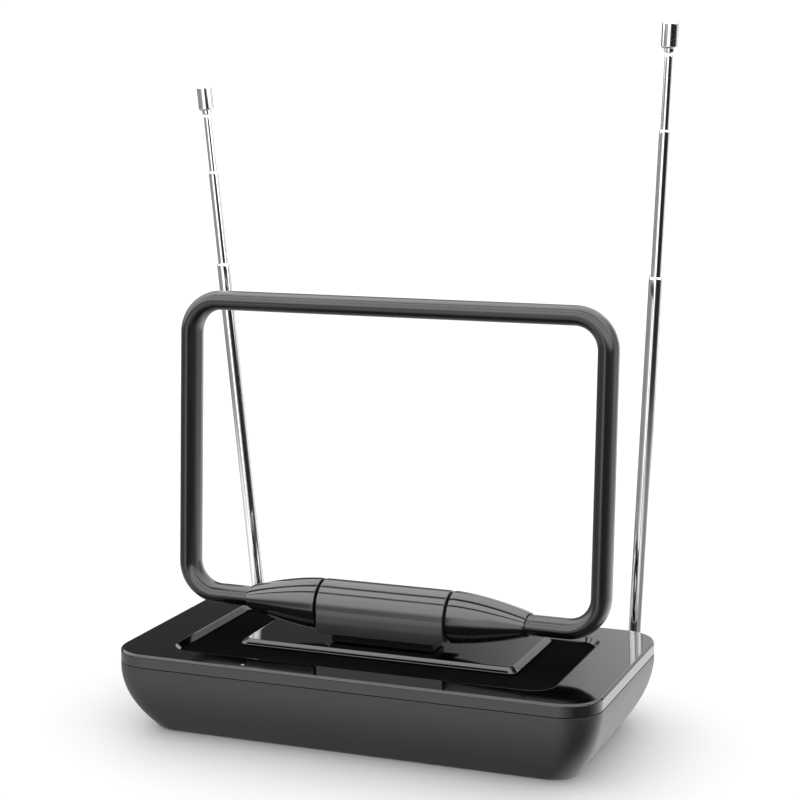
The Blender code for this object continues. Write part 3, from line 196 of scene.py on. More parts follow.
# nickel plate on turned brass: warm grey metal with fine tool rings and a little tarnish
def makeNickel():
    look = nickelLook
    made, tree, shader, coords = newMaterial("nickelPlatedTurnedBrass", {"Metallic": 1.0})
    waveScale = perMetre(look["ringPitch"]) * math.pi / 10    # the wave texture repeats every tenth of pi
    rings = addNode(tree, "ShaderNodeTexWave", {"Vector": coords, "Scale": waveScale,
                                                "Distortion": 0.6, "Detail": 1.0},
                    wave_type="BANDS", bands_direction="Y")
    tarnish = addNode(tree, "ShaderNodeTexNoise", {"Vector": coords, "Scale": perMetre(look["tarnishSize"]),
                                                   "Detail": 5.0, "Roughness": 0.65})
    driveSurface(tree, shader, tarnish.outputs["Fac"], look["colours"], tarnish.outputs["Fac"],
                 look["roughness"])
    addBump(tree, shader, rings.outputs["Fac"], look["ringDepth"])
    return made


# colours, roughness, metallic, pattern size in mm, bump depth in metres
plainLooks = {
    "zincPlatedSteel": (("#a4a7ab", "#bcbfc4"), (0.28, 0.42), 1.0, 1.8, 0.000004),     # cloudy spangle
    "dippedTinplate": (("#b5b6b7", "#cacbcc"), (0.22, 0.34), 1.0, 3.0, 0.000003),      # soft tin bloom
    "bareAluminiumWire": (("#c3c4c6", "#d4d5d7"), (0.32, 0.45), 1.0, 0.6, 0.000004),   # drawn dull wire
    "sinteredFerrite": (("#3a3b3d", "#47484a"), (0.62, 0.75), 0.0, 0.5, 0.000020),     # grainy ceramic
    "naturalNylon": (("#d6d4ca", "#e4e2d9"), (0.38, 0.50), 0.0, 4.0, 0.000004),        # waxy off-white
    "mouldedNitrileRubber": (("#151515", "#1f1f1f"), (0.68, 0.85), 0.0, 0.5, 0.000018),  # dusty matt black
    "extrudedGreyPvc": (("#5c5e62", "#6a6c70"), (0.40, 0.55), 0.0, 2.0, 0.000006),     # soft wire sleeve
    "extrudedRedPvc": (("#a01d14", "#b5271c"), (0.40, 0.55), 0.0, 2.0, 0.000006),      # the same in red
}


def makePlain(name):
    colours, roughness, metallic, size, depth = plainLooks[name]
    made, tree, shader, coords = newMaterial(name, {"Metallic": metallic})
    cloud = addNode(tree, "ShaderNodeTexNoise", {"Vector": coords, "Scale": perMetre(size * 2.5),
                                                 "Detail": 5.0, "Roughness": 0.6})
    fine = addNode(tree, "ShaderNodeTexNoise", {"Vector": coords, "Scale": perMetre(size), "Detail": 3.0})
    driveSurface(tree, shader, cloud.outputs["Fac"], colours, fine.outputs["Fac"], roughness)
    addBump(tree, shader, fine.outputs["Fac"], depth)
    return made


boardLook = {"mask": "#0f4a26", "track": "#1b6a39", "roughness": (0.25, 0.40), "trackPitch": 4.8,
             "copperThickness": 0.000035}


# glass-epoxy board under solder mask: satin green with the copper tracks showing lighter
def makeBoardGreen():
    look = boardLook
    made, tree, shader, coords = newMaterial("solderMaskedGlassEpoxy", {"Metallic": 0.0, "IOR": 1.55})
    cells = addNode(tree, "ShaderNodeTexVoronoi", {"Vector": coords, "Scale": perMetre(look["trackPitch"]),
                                                   "Randomness": 0.35},
                    distance="CHEBYCHEV", feature="DISTANCE_TO_EDGE")
    track = addNode(tree, "ShaderNodeMapRange", {"Value": cells.outputs["Distance"], "From Min": 0.08,
                                                 "From Max": 0.12, "To Min": 1.0, "To Max": 0.0})
    driveSurface(tree, shader, track.outputs["Result"], (look["mask"], look["track"]),
                 cells.outputs["Distance"], look["roughness"])
    addBump(tree, shader, track.outputs["Result"], look["copperThickness"])
    return made


lightGuideLook = {"colours": ("#c9cfcf", "#dde2e1"), "roughness": (0.22, 0.34), "ior": 1.49, "clear": 0.35,
                  "frostSize": 0.8, "frostDepth": 0.000006}


# frosted acrylic light guide: milky clear plastic
def makeFrostedAcrylic():
    look = lightGuideLook
    made, tree, shader, coords = newMaterial("frostedMouldedAcrylic", {
        "IOR": look["ior"], "Metallic": 0.0, "Transmission Weight": look["clear"]})
    cloud = addNode(tree, "ShaderNodeTexNoise", {"Vector": coords, "Scale": perMetre(look["frostSize"]),
                                                 "Detail": 3.0})
    driveSurface(tree, shader, cloud.outputs["Fac"], look["colours"], cloud.outputs["Fac"], look["roughness"])
    addBump(tree, shader, cloud.outputs["Fac"], look["frostDepth"])
    return made


glossAbs = makeGlossAbs()
satinAbs = makeGrainedAbs("sparkErodedSatinAbs", satinAbsLook)
housingAbs = makeGrainedAbs("polishedAbsPaintedLightGrey", housingAbsLook)   # its grey is painted light: the soft grey light its front catches
coneAbs = makeGrainedAbs("polishedBlackAbs", coneAbsLook)        # long crisp highlights that run to the tips
wellShadeAbs = makeGrainedAbs("mattAbsPaintedShade", wellShadeLook)          # painted shade: no reflection, so the well round the deck reads deep black
neckShadeAbs = makeGrainedAbs("dullAbsPaintedShade", neckShadeLook)          # painted shade: darker and duller, so the saddle vanishes in the barrel's shade
loopAbs = makeGrainedAbs("fineGrainedLoopAbs", loopAbsLook)      # a soft sheen down each side of the tube
chrome = makeChrome()
nickel = makeNickel()
board = makeBoardGreen()
acrylic = makeFrostedAcrylic()
plain = {name: makePlain(name) for name in plainLooks}
print("materials made:", len(bpy.data.materials))


# mesh helpers
def sine(degrees):
    return math.sin(math.radians(degrees))


def cosine(degrees):
    return math.cos(math.radians(degrees))


def asPiece(name, work, finish):
    data = bpy.data.meshes.new(name)
    bmesh.ops.recalc_face_normals(work, faces=work.faces)
    work.to_mesh(data)
    work.free()
    data.materials.append(finish)
    piece = bpy.data.objects.new(name, data)
    scene.collection.objects.link(piece)
    return piece


# pairs each row with the next; a closed run also pairs the last with the first
def neighbours(rows, closedRun):
    return list(zip(rows, rows[1:] + rows[:1])) if closedRun else list(zip(rows, rows[1:]))


# skins a run of rings of equal length; closedRun joins the last ring to the first, else both ends are capped
def skinned(name, rings, finish, closedRun=False):
    work = bmesh.new()
    rows = [[work.verts.new(point) for point in ring] for ring in rings]
    for lower, upper in neighbours(rows, closedRun):
        for index in range(len(lower)):
            after = (index + 1) % len(lower)
            work.faces.new((lower[index], lower[after], upper[after], upper[index]))
    if not closedRun:
        work.faces.new(rows[0])
        work.faces.new(rows[-1])
    return asPiece(name, work, finish)


# turns (radius, height) points round local Z; a zero radius closes the end in a point
def turned(name, profile, finish, facets=48, closedRun=False):
    work = bmesh.new()
    rows = []
    for radius, height in profile:
        if radius <= 0:
            rows.append([work.verts.new((0, 0, height))])
        else:
            rows.append([work.verts.new((x, y, height)) for x, y in circle(radius, radius, facets)])
    for lower, upper in neighbours(rows, closedRun):
        for k in range(facets):
            after = (k + 1) % facets
            if len(lower) == 1:
                work.faces.new((lower[0], upper[after], upper[k]))
            elif len(upper) == 1:
                work.faces.new((lower[k], lower[after], upper[0]))
            else:
                work.faces.new((lower[k], lower[after], upper[after], upper[k]))
    return asPiece(name, work, finish)


# a plain round plug from one height to another, for posts and for cutting holes
def plug(radius, high, low, finish, facets=48):
    return turned("plug", [(0, high), (radius, high), (radius, low), (0, low)], finish, facets)


def extruded(name, outline, thickness, finish):
    work = bmesh.new()
    face = work.faces.new([work.verts.new((x, y, -thickness / 2)) for x, y in outline])
    grown = bmesh.ops.extrude_face_region(work, geom=[face])
    for element in grown["geom"]:
        if isinstance(element, bmesh.types.BMVert):
            element.co.z = thickness / 2
    return asPiece(name, work, finish)


def box(name, low, high, finish):
    outline = [(low[0], low[1]), (high[0], low[1]), (high[0], high[1]), (low[0], high[1])]
    made = extruded(name, outline, high[2] - low[2], finish)
    made.data.transform(Matrix.Translation((0, 0, (low[2] + high[2]) / 2)))
    return made


def turn(piece, rotation=(0, 0, 0), location=(0, 0, 0)):
    piece.data.transform(Matrix.Translation(location) @ Euler(rotation).to_matrix().to_4x4())
    return piece


# works the modifiers into the mesh, so that the mesh itself holds the finished shape
def settle(piece):
    bpy.context.view_layer.update()
    shaped = piece.evaluated_get(bpy.context.evaluated_depsgraph_get())
    data = bpy.data.meshes.new_from_object(shaped)
    piece.modifiers.clear()
    piece.data = data
    return piece


def combine(piece, cutters, operation="DIFFERENCE"):
    for cutter in cutters:
        step = piece.modifiers.new("combine", "BOOLEAN")
        step.operation = operation
        step.object = cutter
        step.solver = "EXACT"
    settle(piece)
    for cutter in cutters:
        bpy.data.objects.remove(cutter, do_unlink=True)
    return piece


def roundEdges(piece, width, segments, angle):
    step = piece.modifiers.new("rounding", "BEVEL")
    step.width = width
    step.segments = segments
    step.limit_method = "ANGLE"
    step.angle_limit = math.radians(angle)
    return settle(piece)


# smooth shading that breaks at sharp edges, with flat faces kept flat in their reflections
def dress(piece, sharpAngle=35):
    piece.data.shade_smooth()
    piece.data.set_sharp_from_angle(angle=math.radians(sharpAngle))
    step = piece.modifiers.new("weighted", "WEIGHTED_NORMAL")
    step.keep_sharp = True
    step.weight = 80
    return settle(piece)


def circle(halfX, halfY, facets):
    return [(halfX * math.cos(2 * math.pi * k / facets), halfY * math.sin(2 * math.pi * k / facets))
            for k in range(facets)]


def arc(centre, radius, start, end, steps):
    angles = [start + (end - start) * k / steps for k in range(steps + 1)]
    return [(centre[0] + radius * cosine(a), centre[1] + radius * sine(a)) for a in angles]


def roundedPlan(halfX, halfY, radius, z, centreY=0.0, steps=14):
    ring = []
    for quarter, (sideX, sideY) in enumerate(((1, 1), (-1, 1), (-1, -1), (1, -1))):
        centre = (sideX * (halfX - radius), centreY + sideY * (halfY - radius))
        for x, y in arc(centre, radius, 90 * quarter, 90 * quarter + 90, steps):
            ring.append((x, y, z))
    return ring


def finishPiece(piece, body, slot, *replaced):
    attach(piece, body)
    if replaced:
        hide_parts(*replaced)
    return piece


alongX = (0, math.pi / 2, 0)
alongY = (-math.pi / 2, 0, 0)
sectionYz = (math.pi / 2, 0, math.pi / 2)   # stands an outline drawn flat up across the object
gap = 0.0003         # clearance between pieces that fit together
through = 0.01       # how far a cutter runs past each side of a thin wall

# case: lower hull, top cover, deck
case = {"corner": 0.016, "footCorner": 0.011, "hullInsetX": 0.0125, "hullInsetY": 0.014, "hullPower": 2.0,
        "hullWall": 0.0022, "coverWall": 0.0018, "rimRound": 0.00015, "footRound": 0.0010, "footTuck": 0.6,
        "leastCorner": 0.001, "coverEdge": 0.0011, "hullSteps": 26, "wallSteps": 8}
recess = {"halfX": 0.0816, "front": -0.0397, "back": 0.0366, "depth": 0.0030, "corner": 0.0080, "lip": 0.0020,
          "lipRound": 0.00025, "floorRound": 0.0006}
deck = {"corner": 0.0034, "leastCorner": 0.0006, "cornerSteps": 10, "bevel": 0.0020, "bevelRound": 0.00022}
backBoss = {"chamfer": 0.0004, "holeStart": 0.002, "holeEnd": 0.042, "facets": 48}
swivelBoss = {"radius": 0.0065, "inner": 0.0480, "hole": 0.0033}
sockets = {"bosses": ((0.0, 0.0080, 0.0050), (-0.0260, 0.0062, 0.0041)), "inner": 0.0455, "facets": 64}
underside = {"screwX": 0.060, "screwY": 0.028, "boss": 0.0045, "bossTop": 0.0100, "headSeat": 0.0060,
             "headHole": 0.0031, "shankHole": 0.0017, "shankTop": 0.02, "chamfer": 0.0005,
             "chamferTop": 0.0003, "padHole": 0.0063, "padDepth": 0.0013, "below": -0.002}
saddleHoles = ((0.0, 0.0036), (-0.0150, 0.0017), (0.0150, 0.0017))   # x and radius: leads, then two screws
lightHole = 0.0011

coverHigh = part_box("top_cover")[1]
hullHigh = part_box("lower_shell")[1]
seam = hullHigh.z + gap / 2
halfWidth = coverHigh.x
halfDepth = coverHigh.y
bossFace = hullHigh.y


def jointSpot(name):
    return Vector([joint["pos_m"] for joint in frame["joints"] if joint["name"] == name][0])


swing = {"left": jointSpot("swing_left"), "right": jointSpot("swing_right")}
hinge = jointSpot("loop_tilt")


# the hull's plan at a height: it draws in towards the foot along a power curve
def hullPlan(z, wall=0.0, extra=0.0):
    drop = max(0.0, (seam - z) / seam)
    pull = drop ** case["hullPower"]
    slope = case["hullPower"] * drop ** (case["hullPower"] - 1) * case["hullInsetY"] / seam
    side = wall * math.hypot(1.0, slope) + extra
    radius = case["corner"] + (case["footCorner"] - case["corner"]) * drop - side
    halfX = halfWidth - case["hullInsetX"] * pull - side
    halfY = halfDepth - case["hullInsetY"] * pull - side
    return roundedPlan(halfX, halfY, max(radius, case["leastCorner"]), z)


# a boss inside the back wall, and the cutter for the hole through it
def makeBackBoss(radius, inner, hole, x, z, facets):
    chamfer = backBoss["chamfer"]
    boss = turned("boss", [(0, bossFace), (radius - chamfer, bossFace), (radius, bossFace - chamfer),
                           (radius, inner), (0, inner)], satinAbs, facets)
    cutter = plug(hole, bossFace + backBoss["holeStart"], backBoss["holeEnd"], satinAbs)
    return [turn(piece, alongY, (x, 0, z)) for piece in (boss, cutter)]


# a post for a case screw, and the cutter for its counterbored hole
def makeScrewPost(x, y):
    shank, head, seat = underside["shankHole"], underside["headHole"], underside["headSeat"]
    mouth = head + underside["chamfer"]
    chamferTop = underside["chamferTop"]
    high, below = underside["shankTop"], underside["below"]
    post = plug(underside["boss"], underside["bossTop"], case["hullWall"] / 2, satinAbs)
    cutter = turned("counterbore", [
        (0, high), (shank, high), (shank, seat), (head, seat), (head, chamferTop),
        (mouth, chamferTop - underside["chamfer"]), (mouth, below), (0, below)], satinAbs)
    return [turn(piece, location=(x, y, 0)) for piece in (post, cutter)]


def makeHull():
    top = hullHigh.z
    foot = case["footRound"]
    rim = case["rimRound"]
    wall = case["hullWall"]
    steps = case["hullSteps"]
    wallSteps = case["wallSteps"]
    rings = [hullPlan(foot * (1 - sine(a)), 0.0, case["footTuck"] * foot * (1 - cosine(a)))
             for a in (90, 60, 30, 0)]
    rings += [hullPlan(foot + (top - rim - foot) * k / steps) for k in range(1, steps + 1)]
    rings += [hullPlan(top - rim + rim * sine(a), 0.0, rim * (1 - cosine(a))) for a in (30, 60, 90)]
    rings += [hullPlan(wall + (top - wall) * k / wallSteps, wall) for k in range(wallSteps, -1, -1)]
    hull = skinned("lowerHull", rings, satinAbs)
    fittings = []
    for side, name in ((-1, "left"), (1, "right")):
        fittings.append(makeBackBoss(swivelBoss["radius"], swivelBoss["inner"], swivelBoss["hole"],
                                     swing[name].x, swing[name].z, backBoss["facets"]))
        for row in (-1, 1):
            fittings.append(makeScrewPost(side * underside["screwX"], row * underside["screwY"]))
    socketZ = (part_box("coax_socket")[0].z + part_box("coax_socket")[1].z) / 2
    for x, radius, hole in sockets["bosses"]:
        fittings.append(makeBackBoss(radius, sockets["inner"], hole, x, socketZ, sockets["facets"]))
    cuts = [cutter for fitting, cutter in fittings]
    for row in ("front", "back"):
        for name in ("left", "right"):
            low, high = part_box(f"foot_pad_{row}_{name}")
            centre = (low + high) / 2
            seat = plug(underside["padHole"], underside["padDepth"], underside["below"], satinAbs)
            cuts.append(turn(seat, location=(centre.x, centre.y, 0)))
    combine(hull, [fitting for fitting, cutter in fittings], "UNION")
    combine(hull, cuts)
    return finishPiece(dress(hull, sharpAngle=28), "base", "satin_abs", "lower_shell")


# cutters for the holes under the barrel
def saddleCutters(z):
    return [turn(plug(radius, through, -through, glossAbs), location=(x, hinge.y, z))
            for x, radius in saddleHoles]


def makeCover():
    top = coverHigh.z
    wall = case["coverWall"]
    skirt = seam + gap / 2
    floor = top - recess["depth"]
    middle = (recess["front"] + recess["back"]) / 2
    halfY = (recess["back"] - recess["front"]) / 2
    rim = case["rimRound"]
    edge = case["coverEdge"]
    lip = recess["lip"]
    soft = recess["lipRound"]
    fillet = recess["floorRound"]

    def outer(inset, z):
        return roundedPlan(halfWidth - inset, halfDepth - inset, case["corner"] - inset, z)

    def inner(grow, z):
        return roundedPlan(recess["halfX"] + grow, halfY + grow, recess["corner"] + grow, z, middle)

    rings = [inner(wall, floor - wall), inner(wall, top - wall), outer(wall, top - wall), outer(wall, skirt),
             outer(rim, skirt)]
    rings += [outer(rim * (1 - sine(a)), skirt + rim * (1 - cosine(a))) for a in (30, 60, 90)]
    rings += [outer(edge * (1 - cosine(a)), top - edge + edge * sine(a)) for a in (0, 15, 30, 45, 60, 75, 90)]
    # the lip is a flat chamfer with its two edges just broken
    rings += [inner(lip + 2 * soft, top), inner(lip + soft, top), inner(lip, top - soft * 0.3),
              inner(lip - soft, top - soft), inner(soft, top - lip + soft * 0.3),
              inner(0.0, top - lip - soft * 0.6)]
    rings += [inner(0.0, floor + fillet), inner(-fillet / 3, floor + fillet / 3), inner(-fillet, floor)]
    cover = skinned("topCover", rings, glossAbs)
    light = sum(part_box("light_pipe"), Vector()) / 2
    lightCutter = turn(plug(lightHole, through, -through, glossAbs), location=(light.x, light.y, top))
    combine(cover, saddleCutters(floor) + [lightCutter])
    # the recess floor takes the well's finish: painted shade in the deep recess
    cover.data.materials.append(wellShadeAbs)
    for face in cover.data.polygons:
        inside = abs(face.center.x) < recess["halfX"] and recess["front"] < face.center.y < recess["back"]
        if inside and abs(face.center.z - floor) < recess["depth"] * 0.4 and face.normal.z > -0.5:
            face.material_index = 1
    return finishPiece(dress(cover, sharpAngle=38), "base", "gloss_abs", "top_cover")


def makeDeck():
    low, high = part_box("centre_deck")
    bevel = deck["bevel"]
    soft = deck["bevelRound"]
    middle = (low.y + high.y) / 2
    halfY = (high.y - low.y) / 2

    def plan(inset, z):
        corner = max(deck["corner"] - inset / 2, deck["leastCorner"])
        return roundedPlan(high.x - inset, halfY - inset, corner, z, middle, deck["cornerSteps"])

    top = high.z
    rings = [plan(0.0, low.z), plan(0.0, top - bevel - soft), plan(soft * 0.3, top - bevel + soft * 0.5),
             plan(bevel - soft, top - soft * 0.8), plan(bevel, top - soft * 0.2),
             plan(bevel + soft, top), plan(bevel + 3 * soft, top)]
    piece = combine(skinned("centreDeck", rings, glossAbs), saddleCutters(top))
    return finishPiece(dress(piece, sharpAngle=38), "base", "gloss_abs", "centre_deck")


makeHull()
makeCover()
makeDeck()
print("case finished")

# barrel hinge: fixed middle and cones, then the loop
barrel = {"radius": 0.0110, "skirt": 0.0100, "wall": 0.0016, "edge": 0.00045, "slot": 0.0043, "arcSteps": 56,
          "hollowSteps": 40, "slotSteps": 24, "openBelow": 0.004}
cone = {"power": 1.65, "tipWall": 0.0006, "rings": 26, "round": 0.0006, "around": 80, "grip": 0.0180,
        "tipRound": 0.0004, "spindleHole": 0.0022, "shaftEnd": 0.0366, "screwHole": 0.0017,
        "screwHigh": 0.02, "screwLow": 0.002}
loop = {"halfThick": 0.00415, "halfDepth": 0.0069, "bend": 0.0140, "rise": 0.1280, "halfX": 0.0930,
        "lean": math.radians(3.1), "wall": 0.0014, "around": 56, "bendSteps": 22}
loopTilt = (-loop["lean"], 0, 0)


def arch(radius, drop, steps):
    return arc((0, 0), radius, 0, 180, steps) + [(-radius, -drop), (radius, -drop)]


def makeBarrel():
    low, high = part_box("barrel_housing")
    length = high.x - low.x
    radius, wall, skirt = barrel["radius"], barrel["wall"], barrel["skirt"]
    # the housing's grey finish carries painted light
    piece = extruded("barrelHousing", arch(radius, skirt, barrel["arcSteps"]), length, housingAbs)
    roundEdges(piece, barrel["edge"], 3, 50)
    reach = skirt + barrel["openBelow"]
    inside = arch(radius - wall, reach, barrel["hollowSteps"])
    hollow = extruded("hollow", inside, length - 2 * wall, housingAbs)
    slot = extruded("slot", arch(barrel["slot"], reach, barrel["slotSteps"]), length + through, housingAbs)
    combine(piece, [hollow, slot])
    turn(piece, sectionYz, hinge)
    return finishPiece(dress(piece, sharpAngle=30), "base", "satin_abs", "barrel_housing")


# one cone as rings along X: swelling outside, oval grip for the tube, round bores for the shaft
def coneRings(start, end):
    radius, slot, spindle = barrel["radius"], barrel["slot"], cone["spindleHole"]
    gripY = loop["halfDepth"] + gap
    gripZ = loop["halfThick"] + gap
    gripEnd = end - cone["grip"] - gap
    tipY = gripY + cone["tipWall"]
    tipZ = gripZ + cone["tipWall"]
    soft = cone["round"]
    tipSoft = cone["tipRound"]
    sections = []
    for a in (0, 30, 60):
        rim = radius - soft * (1 - sine(a))
        sections.append((start + soft * (1 - cosine(a)), rim, rim))
    for k in range(cone["rings"] + 1):
        share = k / cone["rings"]
        pull = share ** cone["power"]
        x = start + (end - start) * share
        if start + soft < x < end - soft:
            sections.append((x, radius + (tipY - radius) * pull, radius + (tipZ - radius) * pull))
    for a in (0, 45, 90):
        back = tipSoft * (1 - cosine(a))
        sections.append((end - tipSoft + tipSoft * sine(a), tipY - back, tipZ - back))
    sections += [(end, gripY, gripZ), (gripEnd, gripY, gripZ), (gripEnd, spindle, spindle),
                 (cone["shaftEnd"], spindle, spindle), (cone["shaftEnd"], slot, slot), (start, slot, slot)]
    return [[(x, y, z) for y, z in circle(halfY, halfZ, cone["around"])] for x, halfY, halfZ in sections]


def makeCones():
    rings = coneRings(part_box("cone_right")[0].x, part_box("cone_right")[1].x)
    for name, side in (("left", -1), ("right", 1)):
        mine = [[(side * x, y, z) for x, y, z in ring] for ring in rings]
        piece = skinned("cone" + name.title(), mine, coneAbs, closedRun=True)
        low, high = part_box(f"cone_screw_{name}")
        hole = plug(cone["screwHole"], cone["screwHigh"], cone["screwLow"], coneAbs, 32)
        combine(piece, [turn(hole, alongY, ((low.x + high.x) / 2, 0, 0))])
        turn(piece, loopTilt, hinge)
        finishPiece(dress(piece, sharpAngle=40), "loop", "satin_abs", f"cone_{name}")


# the tube's centre line in the XZ plane, with the outward angle at each point
def loopPath():
    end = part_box("cone_right")[1].x - cone["grip"]
    bend = loop["bend"]
    steps = loop["bendSteps"]
    innerX = loop["halfX"] - bend
    high = loop["rise"] - bend
    points = [((-end, 0.0), 270)]
    corners = ((-innerX, bend, 270), (-innerX, high, 180), (innerX, high, 90), (innerX, bend, 0))
    for x, z, start in corners:
        points += [(point, start - 90 * k / steps)
                   for k, point in enumerate(arc((x, z), bend, start, start - 90, steps))]
    points.append(((end, 0.0), -90))
    return points


def loopRings(thick, depth):
    section = circle(thick, depth, loop["around"])
    return [[(x + cosine(angle) * push, y, z + sine(angle) * push) for push, y in section]
            for (x, z), angle in loopPath()]


def makeLoop():
    thick, depth, wall = loop["halfThick"], loop["halfDepth"], loop["wall"]
    rings = loopRings(thick, depth) + loopRings(thick - wall, depth - wall)[::-1]
    piece = skinned("loopTube", rings, loopAbs, closedRun=True)
    turn(piece, loopTilt, hinge)
    return finishPiece(dress(piece, sharpAngle=40), "loop", "satin_abs", "loop_tube")


makeBarrel()
makeCones()
makeLoop()
print("barrel, cones and loop finished")

# telescopic rods and their swivels
rod = {"tubeStart": 0.0058, "lowerLength": 0.1622, "plug": 0.0100, "lipShown": 0.0010, "stackStep": 0.0010,
       "radii": {"lower": (0.0030, 0.0026), "middle": (0.0023, 0.0021), "upper": (0.0018, 0.0013)},
       "edge": 0.0002, "swage": 0.0016, "swageIn": 0.00035, "facets": 56}
# the corner is how far in and how far up each point of the tip's lower rim lies
tip = {"radius": 0.0036, "length": 0.0117, "collar": 0.0016, "collarRadius": 0.0022, "collarEdge": 0.0002,
       "spigot": 0.0080, "crown": 0.0015, "crownDrop": 0.0002, "flat": 0.0012, "flatDrop": 0.00006,
       "corner": ((0.0, 0.0009), (0.00012, 0.0007), (0.0007, 0.0001), (0.0009, 0.0))}
rodSides = {"left": {"lean": math.radians(-5.8), "middleOut": 0.0415, "upperOut": 0.0257},
            "right": {"lean": math.radians(2.3), "middleOut": 0.0610, "upperOut": 0.0314}}
swivel = {"collar": 0.0054, "collarThick": 0.0016, "collarChamfer": 0.0004, "collarEdge": 0.0002,
          "shank": 0.0030, "shankEnd": 0.0425, "forkHalf": 0.0032, "forkReach": 0.0036, "forkSunk": 0.0004,
          "slotSunk": 0.0002, "rounding": 0.00018, "tongue": 0.0026, "tongueIn": 0.0002,
          "tongueStart": 0.0003, "crossHole": 0.006}
hingePin = {"radius": 0.0010, "edge": 0.0002, "past": 0.0002, "headRadius": 0.0017, "headTall": 0.0006}
rodFoot = {"thick": 0.0009, "edge": 0.0002, "shoulder": 0.0001, "plugChamfer": 0.0004,
           "plugChamferTall": 0.0006}
slideGap = 0.0003    # clearance round the hinge pin and beside the tongue


# a drawn tube whose upper end is rolled in over the next tube
def tubeProfile(radius, bore, start, length):
    top = start + length
    edge, swage, tuck = rod["edge"], rod["swage"], rod["swageIn"]
    profile = [(bore, start), (radius - edge, start), (radius, start + edge), (radius, top - 2 * swage),
               (radius, top - swage)]
    profile += [(radius - tuck * (1 - cosine(a)), top - swage + swage * sine(a))
                for a in (15, 30, 45, 60, 75, 90)]
    return profile + [(bore, top)]


def tipProfile(base):
    collar = base + tip["collar"]
    top = collar + tip["length"]
    radius, crown, collarRadius = tip["radius"], tip["crown"], tip["collarRadius"]
    spigot = rod["radii"]["upper"][1] - gap
    profile = [(0, top), (tip["flat"], top - tip["flatDrop"])]
    profile += [(radius - crown + crown * sine(a), top - crown - tip["crownDrop"] + crown * cosine(a))
                for a in (5, 20, 35, 50, 65, 80, 90)]
    profile += [(radius - inward, collar + up) for inward, up in tip["corner"]]
    return profile + [(collarRadius, collar), (collarRadius, base + tip["collarEdge"]),
                      (collarRadius - tip["collarEdge"], base), (spigot, base),
                      (spigot, base - tip["spigot"]), (0, base - tip["spigot"])]


def makeRod(side, lean, middleOut, upperOut):
    middleStart = rod["tubeStart"] + rod["plug"] + rod["stackStep"]
    middleLength = rod["tubeStart"] + rod["lowerLength"] + rod["lipShown"] - middleStart
    upperLength = middleLength + rod["lipShown"] - 2 * rod["stackStep"]
    upperStart = middleStart + rod["stackStep"] + middleOut + upperOut
    runs = (("lower", rod["tubeStart"], rod["lowerLength"], f"rod_{side}"),
            ("middle", middleStart + middleOut, middleLength, f"middle_{side}"),
            ("upper", upperStart, upperLength, f"top_{side}"))
    for name, start, length, body in runs:
        radius, bore = rod["radii"][name]
        tube = turned(f"{name}Tube{side.title()}", tubeProfile(radius, bore, start, length), chrome,
                      rod["facets"], closedRun=True)
        turn(tube, (0, lean, 0), swing[side])
        finishPiece(dress(tube, sharpAngle=50), body, "chrome", f"rod_{name}_{side}")
    cap = turned(f"rodTip{side.title()}", tipProfile(upperStart + upperLength + gap), chrome, rod["facets"])
    turn(cap, (0, lean, 0), swing[side])
    finishPiece(dress(cap, sharpAngle=42), f"top_{side}", "chrome", f"rod_tip_{side}")


def makePinHole():
    reach = swivel["crossHole"]
    return turn(plug(hingePin["radius"] + slideGap, reach, -reach, nickel, 32), alongX)


# the stud through the case's back wall, with the fork that holds the rod
def makeStud(side, lean):
    spot = swing[side]
    collar, shank, reach = swivel["collar"], swivel["shank"], swivel["forkReach"]
    chamfer, edge = swivel["collarChamfer"], swivel["collarEdge"]
    back = bossFace + gap - spot.y
    front = back + swivel["collarThick"]
    end = swivel["shankEnd"] - spot.y
    stud = turn(turned("swivelStud" + side.title(), [
        (0, front), (collar - chamfer, front), (collar, front - chamfer), (collar, back + edge),
        (collar - edge, back), (shank, back), (shank, end), (0, end)], nickel, 64), alongY)
    root = front - swivel["forkSunk"]
    outline = [(root, -reach), (0, -reach)] + arc((0, 0), reach, -90, 90, 24)[1:] + [(root, reach)]
    combine(stud, [turn(extruded("fork", outline, 2 * swivel["forkHalf"], nickel), sectionYz)], "UNION")
    half = swivel["tongue"] / 2 + slideGap
    slot = box("slot", (-half, front - swivel["slotSunk"], -through), (half, through, through), nickel)
    combine(stud, [slot, makePinHole()])
    roundEdges(stud, swivel["rounding"], 2, 45)
    turn(dress(stud, sharpAngle=30), (0, lean, 0), spot)
    finishPiece(stud, f"swivel_{side}", "nickel", f"swivel_stud_{side}")


def makeHingePin(side, lean):
    radius, head, tall = hingePin["radius"], hingePin["headRadius"], hingePin["headTall"]
    edge = hingePin["edge"]
    seat = swivel["forkHalf"] + hingePin["past"]
    pin = turned("hingePin" + side.title(), [
        (0, seat + tall), (head * 0.6, seat + tall * 11 / 12), (head * 0.9, seat + tall * 2 / 3),
        (head - edge / 2, seat + tall / 6), (head - edge / 2, seat), (radius, seat), (radius, -seat + edge),
        (radius - edge, -seat), (0, -seat)], nickel, 40)
    turn(pin, alongX)
    turn(pin, (0, lean, 0), swing[side])
    finishPiece(dress(pin, sharpAngle=40), f"swivel_{side}", "nickel", f"hinge_pin_{side}")


